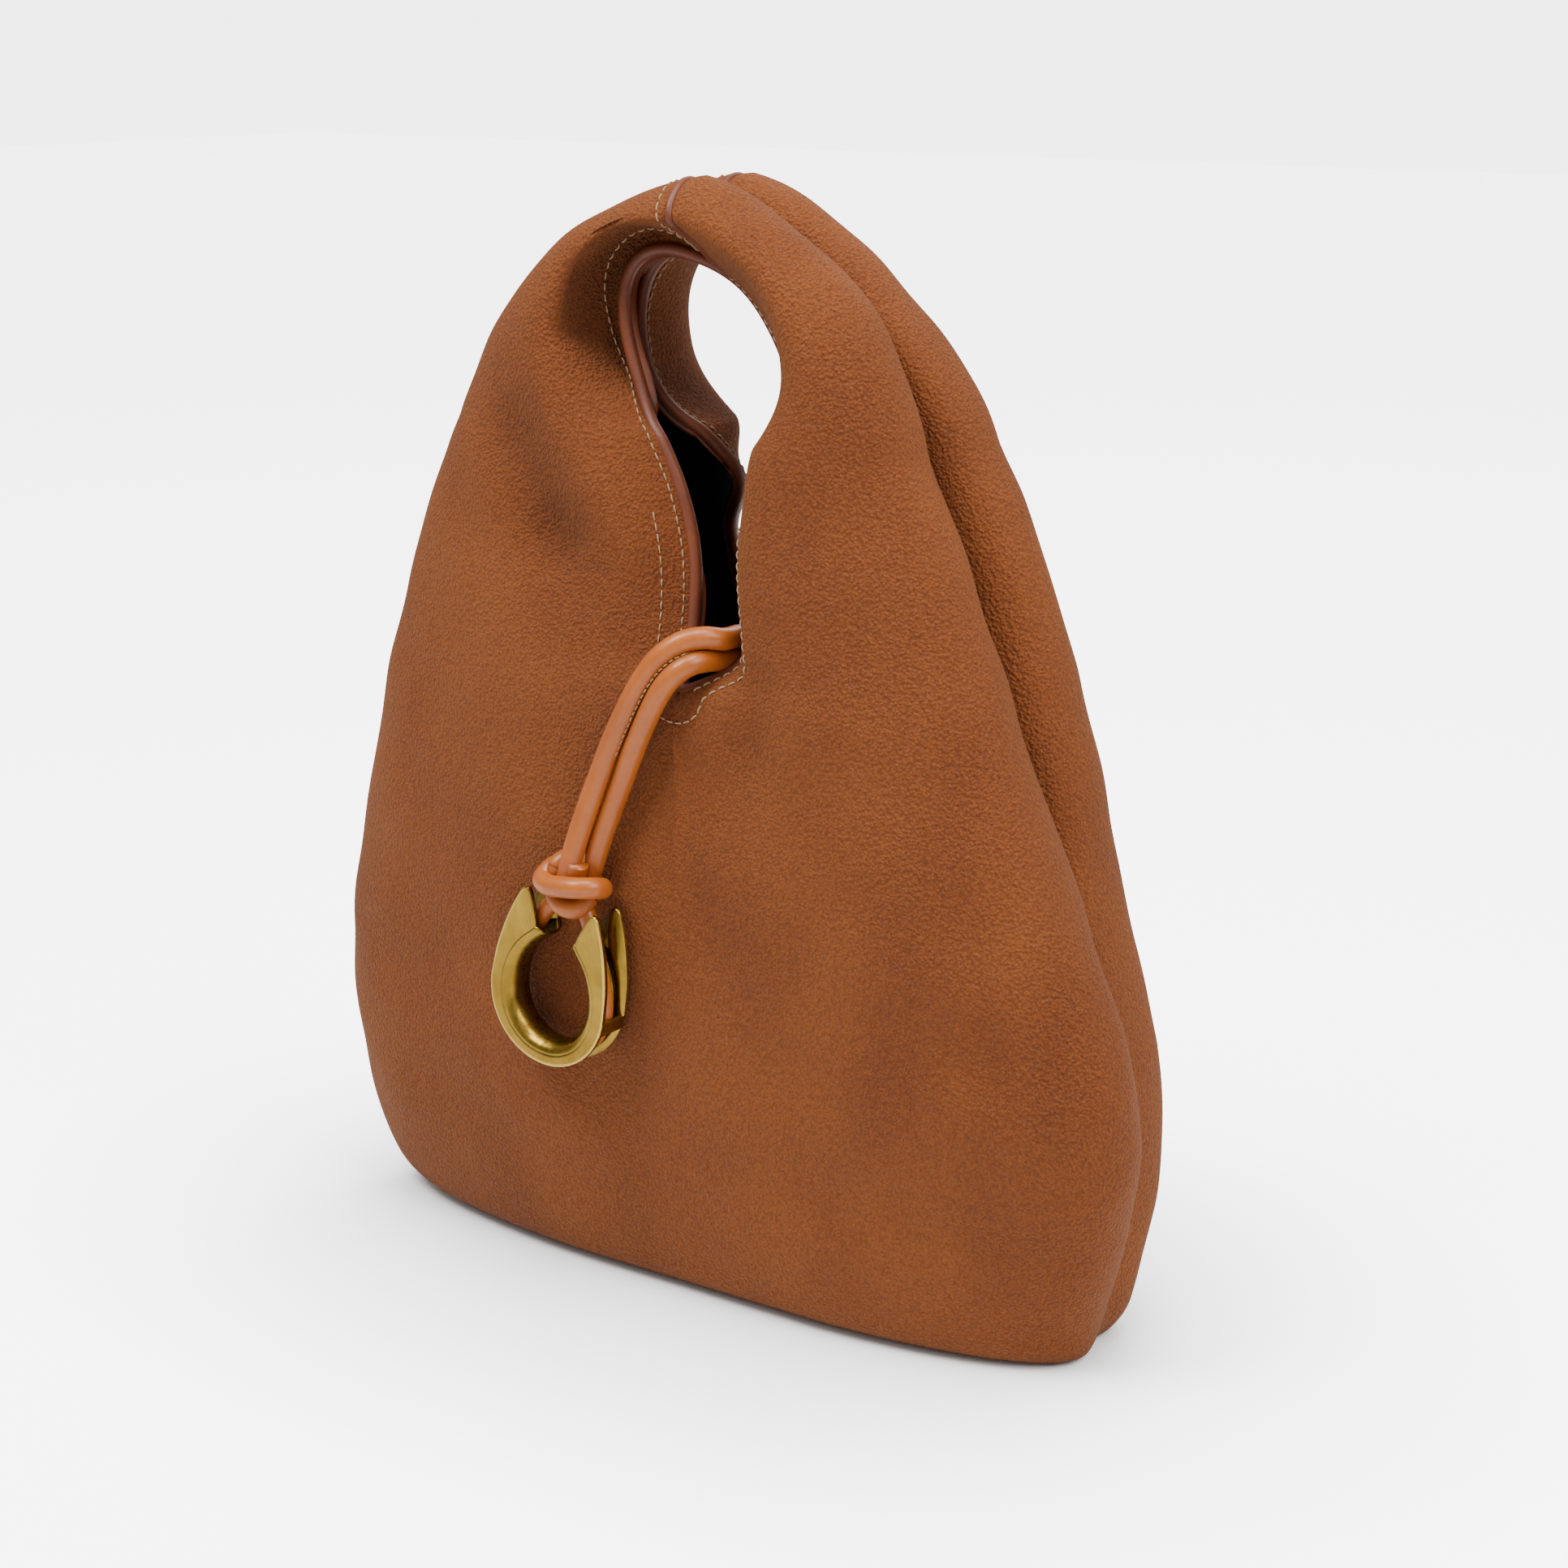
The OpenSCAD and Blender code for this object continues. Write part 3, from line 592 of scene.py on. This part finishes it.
# Folds of the front, each a path of (x, z) seen from the front, its half width and its depth (mm, inward)
FRONT_FOLDS = [
    ([(-12, 320), (-26, 317), (-38, 308), (-40, 297), (-30, 287), (-17, 280)], 8.5, 8),
    ([(-26, 308), (-27, 299), (-20, 291)], 9, 3),
    ([(-70, 276), (-62, 262), (-54, 250), (-47, 238), (-38, 226)], 12, 5.0),
    ([(-58, 240), (-46, 233), (-34, 229)], 9, 2.0),
    ([(-38, 264), (-31, 252), (-18, 238), (-6, 226)], 9, -2.0),
    ([(34, 208), (33, 190), (29, 170)], 9, 2.6),
    ([(127, 150), (133, 110), (131, 60)], 7, 1.6),
    ([(112, 120), (116, 85), (112, 45)], 8, 1.2),
]


# How much painted shade darkens a fold, and how much more pebbled it is, for each mm of its depth
FOLD_SHADE = 0.095


def along_path(points, path, width):
    """How near points (x, z) are to a path, from 0 to 1, fading towards its ends."""
    path = np.asarray(path, float)
    best = np.full(points.shape[:-1], np.inf)
    place = np.zeros(points.shape[:-1])
    lengths = np.linalg.norm(np.diff(path, axis=0), axis=1)
    start = np.concatenate([[0], np.cumsum(lengths)])
    for i, (a, b) in enumerate(zip(path[:-1], path[1:])):
        t = np.clip(((points - a) @ (b - a)) / lengths[i]**2, 0, 1)
        d = np.linalg.norm(points - (a + t[..., None] * (b - a)), axis=-1)
        nearer = d < best
        best = np.where(nearer, d, best)
        place = np.where(nearer, (start[i] + t * lengths[i]) / start[-1], place)
    fade = np.clip(np.minimum(place, 1 - place) * 4, 0, 1)
    return np.exp(-(best / width)**2) * (0.35 + 0.65 * fade)


def waves(points, wavelength, count, seed):
    """Smooth noise from -1 to 1 or so, a sum of plane waves with seeded directions."""
    rng = np.random.default_rng(seed)
    total = np.zeros(points.shape[:-1])
    for _ in range(count):
        k = unit(rng.normal(size=3)) * 2 * math.pi / (wavelength * rng.uniform(0.7, 1.5))
        total += np.sin(points @ k + rng.uniform(0, 2 * math.pi))
    return total / math.sqrt(count)


def relief(points, normals, side, face, s, u):
    """Moves the surface inward along its normals, and says where folds get painted shade and a coarser grain.
    """
    depth = np.zeros(points.shape[:-1])
    fold_shade_and_grain = np.zeros(points.shape[:-1])
    calm = np.clip(u / 40, 0, 1)[:, None] * np.clip((s - 0.02) / 0.1, 0, 1)[None, :]
    calm = calm * np.clip((1 - s) / 0.12, 0, 1)[None, :]
    if face == FRONT:
        flat = points[..., [0, 2]]
        for path, width, inward in FRONT_FOLDS:
            near = along_path(flat, path, width)
            depth += inward * near
            # Painted shade that grows with the fold's depth
            fold_shade_and_grain += FOLD_SHADE * max(0, inward) * near
    depth = depth * calm
    depth += 0.9 * waves(points, 85, 14, 5 + face) * calm
    depth += 0.35 * waves(points, 30, 16, 9 + face) * calm
    if side == LEFT:
        depth += 1.2 * np.exp(-((SEAM_U - u) / 1.1)**2)[:, None]
    return points - normals * depth[..., None], np.clip(fold_shade_and_grain, 0, 1)


# ---------- the panels ----------

def weld(obj, distance=2e-5):
    bm = bmesh.new()
    bm.from_mesh(obj.data)
    bmesh.ops.remove_doubles(bm, verts=bm.verts, dist=distance)
    bm.to_mesh(obj.data)
    bm.free()


def quads(rows, columns, first, flip):
    faces = []
    for i in range(rows - 1):
        for j in range(columns - 1):
            a = first + i * columns + j
            quad = (a, a + 1, a + columns + 1, a + columns)
            faces.append(quad[::-1] if flip else quad)
    return faces


LEATHER = 1.8
# The lining stops where the handle strands begin to close
LINING_TOP = 290
# Size of the patches where the nap is brushed up (mm)
NAP_PATCH = 55
S_FINE = np.linspace(0, 1, 121)
U_FINE = np.concatenate([np.linspace(0, 12, 13)[:-1], np.linspace(12, NOTCH_U, 91)[:-1],
                         np.linspace(NOTCH_U, TOP_U, 111)])


def sheet_piece(name, face, s, u, depth):
    """Both halves of a panel, or of a layer at a depth under it, as one welded mesh with its attributes."""
    halves = []
    for side in (LEFT, RIGHT):
        points = skin(side, face, s, u)
        normals = grid_normals(points, side, face)
        points, fold_shade_and_grain = relief(points, normals, side, face, s, u)
        normals = grid_normals(points, side, face)
        nap = np.clip(0.4 + 0.5 * waves(points, NAP_PATCH, 12, 31 + face), 0, 1) * (1 - fold_shade_and_grain)
        halves.append([points - normals * depth, fold_shade_and_grain, nap])
    if s[0] == 0:
        joined = u <= NOTCH_U
        middle = (halves[0][0][:, 0] + halves[1][0][:, 0]) / 2
        fade = np.clip(1 - s / 0.12, 0, 1)**2
        for half in halves:
            shift = np.where(joined[:, None], middle - half[0][:, 0], 0)
            half[0] += shift[:, None, :] * fade[None, :, None]
    if u[-1] == TOP_U:
        top = (halves[0][0][-1] + halves[1][0][-1]) / 2
        for half in halves:
            half[0][-1] = top
    rows, columns = len(u), len(s)
    verts = np.concatenate([half[0].reshape(-1, 3) for half in halves])
    faces = []
    for side in (LEFT, RIGHT):
        flip = (side == LEFT) == (face == FRONT)
        faces += quads(rows, columns, side * rows * columns, flip)
    obj = mesh_object(name, verts, faces)
    for key, values in (("fold_shade_and_grain", np.concatenate([half[1].ravel() for half in halves])),
                        ("nap", np.concatenate([half[2].ravel() for half in halves]))):
        attribute = obj.data.attributes.new(key, "FLOAT", "POINT")
        attribute.data.foreach_set("value", values.astype(np.float32))
    weld(obj)
    return obj


def thicken(obj, thickness):
    """Closes a sheet into a solid of that thickness in millimetres, grown inward."""
    solid = obj.modifiers.new("thickness", "SOLIDIFY")
    solid.thickness = thickness * MM
    solid.offset = -1
    apply_modifiers(obj)


def add_webbing():
    """The strap inside each handle strand, towards its outer ridge."""
    s, u = np.linspace(0.6, 0.74, 14), np.linspace(HAND_Z, TOP_U, 60)
    for face, name in ((FRONT, "front"), (REAR, "rear")):
        strap = sheet_piece(f"{name}_webbing", face, s, u, 5)
        thicken(strap, 1)
        finish_piece(strap, WEBBING, "bag", "webbing", f"{name}_handle_webbing")


def add_panels():
    for face, name in ((FRONT, "front"), (REAR, "rear")):
        panel = sheet_piece(f"{name}_nubuck", face, S_FINE, U_FINE, 0)
        thicken(panel, LEATHER)
        finish_piece(panel, NUBUCK, "bag", "nubuck", f"{name}_panel")
        cloth = sheet_piece(f"{name}_lining_cloth", face, S_FINE[::4], U_FINE[U_FINE <= LINING_TOP][::3], 2.4)
        thicken(cloth, 0.6)
        finish_piece(cloth, LINING, "bag", "lining", f"{name}_lining")


add_panels()
add_webbing()


def tube_piece(name, path, width, height=None, material=None, body="bag", slot="nubuck", nodes=(), **more):
    tube = mesh_object(name, *tube_mesh(path, width, height, **more))
    return finish_piece(tube, material, body, slot, *nodes)


STITCH_PITCH = 3.3
STITCH_WIDTH = 0.52
EDGE_ROW_IN = 3.6
FACING_ROW_IN = 10.5
FACING_ROW_TOP = 244
PIPING_D = 2.6
LOOP_R = 17.9
LOOP_D = 5.6


# ---------- edges: binding, piping, facings and stitches ----------

def raised(side, face, s, u):
    """Points of the panel's finished surface, relief and all, with their outward directions."""
    s, u = np.atleast_1d(np.asarray(s, float)), np.atleast_1d(np.asarray(u, float))
    wide_s = np.unique(np.clip(np.concatenate([s - 0.004, s, s + 0.004]), 0, 1))
    wide_u = np.unique(np.clip(np.concatenate([u - 0.5, u, u + 0.5]), 0, TOP_U))
    points = skin(side, face, wide_s, wide_u)
    points, _ = relief(points, grid_normals(points, side, face), side, face, wide_s, wide_u)
    normals = grid_normals(points, side, face)
    pick = np.ix_(np.searchsorted(wide_u, u), np.searchsorted(wide_s, s))
    return points[pick], normals[pick]


def edge_run(face, depth):
    """The opening's bound edge, below the skin by depth: up the left side and down the right."""
    u = np.linspace(NOTCH_U, TOP_U, 90)
    left, left_out = raised(LEFT, face, 0, u)
    right, right_out = raised(RIGHT, face, 0, u)
    left, right = left[:, 0] - depth * left_out[:, 0], right[:, 0] - depth * right_out[:, 0]
    top = (left[-1] + right[-1]) / 2
    run = np.concatenate([left[:-1], [top], right[-2:0:-1]])
    for _ in range(6):
        run = (np.roll(run, 1, axis=0) + 2 * run + np.roll(run, -1, axis=0)) / 4
    return run


def add_bindings():
    for face, name in ((FRONT, "front"), (REAR, "rear")):
        tube_piece(f"{name}_binding", edge_run(face, 1.0), 3.9, 3.9, BINDING, slot="smooth_leather",
                   nodes=[f"{name}_opening_binding"], sides=20, up=(0.1, 1, 0.1), closed=True)


def add_facings():
    s, u = np.linspace(0, 0.14, 8), np.linspace(NOTCH_U - 12, TOP_U, 90)
    for face, name in ((FRONT, "front"), (REAR, "rear")):
        strip = sheet_piece(f"{name}_facing", face, s, u, 3.2)
        thicken(strip, 0.9)
        finish_piece(strip, BINDING, "bag", "smooth_leather", f"{name}_opening_facing")


def add_piping():
    s = np.linspace(0, 0.88, 60)
    for face, name in ((FRONT, "front"), (REAR, "rear")):
        run, outward = raised(LEFT, face, s, [SEAM_U])
        tube_piece(f"{name}_piping", run[0] + 0.5 * outward[0], PIPING_D, None, BINDING,
                   slot="smooth_leather", nodes=[f"{name}_handle_piping"], sides=14, up=(1, 0, 0))


def stitch_mesh(start, end, outward, width):
    """A thread stitch: a rounded bar sunk at both ends."""
    steps = np.array([0, 0.15, 0.5, 0.85, 1])
    sink = np.array([0.35, 0.05, -0.12, 0.05, 0.35])
    path = start + (end - start) * steps[:, None] - outward * sink[:, None]
    return tube_mesh(path, width, None, sides=8, up=outward)


def stitches_along(points, outward, pitch=STITCH_PITCH, width=STITCH_WIDTH, lift=0.22):
    """Stitches at a pitch along a line of points, as a list of parts."""
    lengths = np.concatenate([[0], np.cumsum(np.linalg.norm(np.diff(points, axis=0), axis=1))])
    count = max(1, int(lengths[-1] / pitch))
    parts = []
    for k in range(count):
        span = [(k + 0.17) * lengths[-1] / count, (k + 0.83) * lengths[-1] / count]
        a, b, out = ([np.interp(d, lengths, values[:, i]) for i in range(3)]
                     for d, values in ((span[0], points), (span[1], points), (span[0], outward)))
        out = unit(out)
        parts.append(stitch_mesh(np.array(a) + lift * out, np.array(b) + lift * out, out, width))
    return parts


def beside_edge(side, face, distance, u):
    """Surface points at distances in mm from the bound edge, one for each u, and their normals."""
    s = np.linspace(0, 0.6, 121)
    steps = np.linalg.norm(np.diff(skin(side, face, s, u), axis=1), axis=2)
    lengths = np.concatenate([np.zeros((len(u), 1)), np.cumsum(steps, axis=1)], axis=1)
    found = [raised(side, face, [np.interp(d, row, s)], [b]) for d, row, b in zip(distance, lengths, u)]
    return np.array([p[0, 0] for p, _ in found]), np.array([n[0, 0] for _, n in found])


def edge_row(side, face):
    u = np.linspace(NOTCH_U + 2, TOP_U - 4, 140)
    return stitches_along(*beside_edge(side, face, np.full(len(u), EDGE_ROW_IN), u))


def notch_row(side):
    """The outer row of the facing's stitches: down beside the opening and round under the notch."""
    turn = np.radians(np.linspace(0, 90, 20))
    distance = np.concatenate([np.full(40, FACING_ROW_IN), FACING_ROW_IN * np.cos(turn[1:])])
    below_notch = NOTCH_U - 0.7 * FACING_ROW_IN * np.sin(turn[1:])
    u = np.concatenate([np.linspace(FACING_ROW_TOP, NOTCH_U, 40), below_notch])
    return stitches_along(*beside_edge(side, FRONT, distance, u))


def add_stitches():
    for face, name in ((FRONT, "front"), (REAR, "rear")):
        parts = []
        for side in (LEFT, RIGHT):
            parts += edge_row(side, face)
        obj = mesh_object(f"{name}_edge_stitches", *join_parts(parts))
        finish_piece(obj, THREAD, "bag", "thread", f"{name}_edge_stitching")
    parts = []
    for side in (LEFT, RIGHT):
        parts += notch_row(side)
    finish_piece(mesh_object("facing_stitches", *join_parts(parts)), THREAD, "bag", "thread",
                 "front_facing_stitching")
    parts = []
    for face in (FRONT, REAR):
        points, outward = raised(LEFT, face, np.linspace(0.16, 0.8, 60), [SEAM_U - 3])
        parts += stitches_along(points[0], outward[0])
    finish_piece(mesh_object("handle_stitches", *join_parts(parts)), THREAD, "bag", "thread",
                 "handle_seam_stitching")


def add_cord_stitches():
    """Thread in the groove between the two strands, above the place where they turn."""
    groove = smooth_route(np.array(CORD_ROUTE[2:10]) / MM + [0, -1.9, 0], 12)
    outward = np.tile([0.0, -1.0, 0.0], (len(groove), 1))
    parts = stitches_along(groove, outward, pitch=2.0, width=0.45, lift=0)
    stitches = mesh_object("cord_stitches", *join_parts(parts))
    finish_piece(stitches, THREAD, "cord", "thread", "cord_stitching")


add_bindings()
add_facings()
add_piping()
add_stitches()
add_cord_stitches()


# ---------- knot and ring ----------

RING_AT = np.array([-29.8, -57, 97.5])
RING_LEAN = math.radians(11)
KNOT_UP = 37


def ring_frame(points):
    """Points from the ring's own frame, upright about its centre, into the bag's."""
    p = np.asarray(points, float)
    c, s = math.cos(RING_LEAN), math.sin(RING_LEAN)
    return np.stack([p[..., 0] * c + p[..., 2] * s, p[..., 1], p[..., 2] * c - p[..., 0] * s], -1) + RING_AT


# Half outlines of a ring plate from its lowest point up to the horn's tip, as (x, z)
PLATE_RIM = [(22 * math.sin(a), -22 * math.cos(a)) for a in np.radians(np.arange(0, 100, 8))] + [
    (21.4, 9), (20.3, 15), (18.8, 21), (16.9, 26.5), (14.9, 31), (13.9, 32)]
PLATE_EYE = [(0, -18.4), (5.2, -17.7), (10, -15.4), (14, -11.6), (16.8, -6.2), (17.9, -0.4), (17.4, 5.4),
             (15.6, 10.8), (12.8, 15.4), (9.6, 18.9), (7.6, 21)]
HORN_INSIDE = [(7.6, 21), (8.7, 24.6), (10.1, 28), (11.5, 31), (12.4, 32.3)]
# Corners of a plate's section, and those on its rim, which get a painted highlight
PLATE_CORNERS = 9
RIM_CORNERS = (0, 1, 2)
BAR_SIZE = (1.6, 11.6, 4.6)
BAR_REACH = 21.1
BAR_Z = -2.6
BAR_TURN = 6
PLATE_OUTSIDE_Y = 6.0
# How far the throat narrows the eye, halfway between the plates
THROAT_IN = 4.0
PLATE_T = 1.6


def even(points, count):
    """A smooth line through the points, cut into even steps."""
    fine = smooth_route([(x, 0, z) for x, z in points], 12)
    lengths = np.concatenate([[0], np.cumsum(np.linalg.norm(np.diff(fine, axis=0), axis=1))])
    at_steps = np.linspace(0, lengths[-1], count)
    return np.stack([np.interp(at_steps, lengths, fine[:, i]) for i in (0, 2)], 1)


def both_sides(half):
    """A whole outline from the left horn round the bottom to the right one."""
    left = half[::-1] * np.array([-1, 1])
    return np.concatenate([left[:-1], half])


def swept_section(rings):
    """Faces of a closed section swept along; rings is an array of section loops."""
    n, m = len(rings), len(rings[0])
    faces = []
    for i in range(n - 1):
        for k in range(m):
            a, b = i * m + k, i * m + (k + 1) % m
            faces.append((a, b, b + m, a + m))
    return np.concatenate(rings), faces + [tuple(range(m - 1, -1, -1)), tuple(range((n - 1) * m, n * m))]


def plate_mesh(sign):
    """One plate, sign -1 for the front one: a flat strip between its rim and its eye, with eased edges."""
    rim = both_sides(even(PLATE_RIM, 90))
    inside = both_sides(np.concatenate([even(PLATE_EYE, 66), even(HORN_INSIDE, 25)[1:]]))
    out_y, in_y = sign * PLATE_OUTSIDE_Y, sign * (PLATE_OUTSIDE_Y - PLATE_T)
    ease = 0.35
    # Corners of the section: share of the way from the rim (0) to the eye (1), inset in mm, and depth
    corners = [(0, 0.0, out_y - sign * ease), (0, 0.12, out_y - sign * 0.12), (0, ease, out_y),
               (0, 1.2, out_y), (1, -1.0, out_y), (1, -0.2, out_y), (1, 0, out_y - sign * 0.2),
               (1, 0, in_y), (0, 0.0, in_y)]
    loops = []
    for a, b in zip(rim, inside):
        across = (b - a) / np.linalg.norm(b - a)
        loop = []
        for share, inset, y in corners:
            p = (b if share else a) + across * inset
            loop.append((p[0], y, p[1]))
        loops.append(np.array(loop))
    return swept_section(loops)


def throat_mesh():
    """The web between the plates, rolled in from each face to its narrowest in the middle."""
    eye = both_sides(even(PLATE_EYE, 66))
    along = unit(np.gradient(eye, axis=0))
    inward = np.stack([-along[:, 1], along[:, 0]], 1)
    angles = np.radians(np.linspace(0, 180, 19))
    loops = []
    for p, q in zip(eye, inward):
        skin_line = [(*(p + q * THROAT_IN * math.sin(a)), -PLATE_OUTSIDE_Y * math.cos(a)) for a in angles]
        back = [(*(p - q * 0.2), 4.6), (*(p + q * 2.6), 2.8), (*(p + q * 3.1), 0), (*(p + q * 2.6), -2.8),
                (*(p - q * 0.2), -4.6)]
        loops.append(np.array([(x, y, z) for x, z, y in skin_line + back]))
    return swept_section(loops)


def set_rim_highlight(obj, flags):
    attribute = obj.data.attributes.new("rim_highlight", "FLOAT", "POINT")
    attribute.data.foreach_set("value", np.asarray(flags, np.float32))


def add_ring():
    parts = [plate_mesh(-1), plate_mesh(1), throat_mesh()]
    verts, faces = join_parts(parts)
    ring = mesh_object("ring_brass", ring_frame(verts), faces)
    # Painted highlight on the rim corners of both plates
    rim_highlight = np.zeros(len(verts))
    per_plate = len(parts[0][0])
    section_corner = np.arange(per_plate) % PLATE_CORNERS
    for start in (0, per_plate):
        rim_highlight[start:start + per_plate] = np.isin(section_corner, RIM_CORNERS).astype(float)
    set_rim_highlight(ring, rim_highlight)
    bm = bmesh.new()
    bm.from_mesh(ring.data)
    bmesh.ops.recalc_face_normals(bm, faces=bm.faces)
    bm.to_mesh(ring.data)
    bm.free()
    finish_piece(ring, BRASS, "ring", "brass", "closure_ring")
    bars = []
    for m in (-1, 1):
        bars.append(box_part(np.array([m * BAR_REACH, 0, BAR_Z]), BAR_SIZE, m * math.radians(BAR_TURN)))
    verts, faces = join_parts(bars)
    bar = mesh_object("ring_bars", ring_frame(verts), faces, smooth=False)
    edge = bar.modifiers.new("edge", "BEVEL")
    edge.width = 0.25 * MM
    edge.segments = 3
    apply_modifiers(bar)
    finish_piece(bar, BRASS, "ring", "brass", "ring_bridge_bars")


def box_part(centre, sizes, turn):
    """A box in the ring's frame, turned about Y."""
    corners = np.array([(x, y, z) for x in (-0.5, 0.5) for y in (-0.5, 0.5) for z in (-0.5, 0.5)]) * sizes
    x, y, z = corners.T
    c, s = math.cos(turn), math.sin(turn)
    turned = np.stack([x * c + z * s, y, z * c - x * s], 1)
    faces = [(0, 1, 3, 2), (4, 6, 7, 5), (0, 4, 5, 1), (2, 3, 7, 6), (0, 2, 6, 4), (1, 5, 7, 3)]
    return turned + centre, faces


def add_loop():
    """The leather loop in the ring's groove, with both ends in the knot."""
    r, d = LOOP_R, LOOP_D
    turn = math.radians(118)
    arc = [(r * math.sin(a), 0, -r * math.cos(a)) for a in np.linspace(-turn, turn, 33)]
    end = [(9.5, 0, 24), (5.5, 0.5, 29.5), (3, 0.5, 33.5)]
    start = [(-x, y, z) for x, y, z in end[::-1]]
    path = start + arc + end
    tube_piece("ring_loop_leather", ring_frame(smooth_route(path, 5)), d, None, CORD, body="ring",
               slot="cord_leather", nodes=["ring_cord_loop"], sides=20, up=(0, 1, 0))


def add_knot():
    """An overhand knot: a wrap across the front, a bight behind its upper left and one below."""
    d = 6.6
    wrap = [(-3.5, 3.5, 3.5), (-8.2, 1.5, 2.6), (-9.2, -3.2, -0.8), (-5.5, -5.6, -1.2), (0, -6.2, 0.3),
            (5.5, -5.4, 1.8), (9.0, -2.0, 2.2), (8.6, 2.6, 0.8), (3.5, 4.6, -1.5), (-2.5, 4.4, -3)]
    behind = [(1.5, 2.5, 8), (-2, 3.2, 6.6), (-5.6, 1.6, 5.2), (-6.8, -0.6, 2.4), (-5.2, 1.2, -1.4)]
    below = [(-7.2, 1.0, -3), (-4.4, -1.8, -5.8), (0.2, -3.4, -6.8), (4.2, -2.0, -6.0), (5.2, 1.5, -3)]
    core = [(1.2, -1.0, 7), (0.6, -0.6, 2), (0, 0.4, -3), (-0.6, 0.6, -6)]
    parts = []
    for path in (wrap, behind, below, core):
        parts.append(tube_mesh(smooth_route(path, 10), d, None, sides=20, up=(0.2, 0.3, 1)))
    verts, faces = join_parts(parts)
    knot = mesh_object("knot_leather", ring_frame(verts + np.array([0, 0, KNOT_UP])), faces)
    finish_piece(knot, CORD, "cord", "cord_leather", "cord_knot")


add_ring()
add_loop()
add_knot()


# ---------- what stays from the CAD, with its real materials ----------

def dress(material, *nodes):
    for name in nodes:
        obj = bpy.data.objects[name]
        obj.data.materials.clear()
        obj.data.materials.append(material)


dress(NUBUCK, "base_panel")
dress(BOARD, "base_stiffener")
dress(BINDING, "left_seam_tape", "right_seam_tape", "cord_anchor_tab")
dress(BRASS, "anchor_rivet")
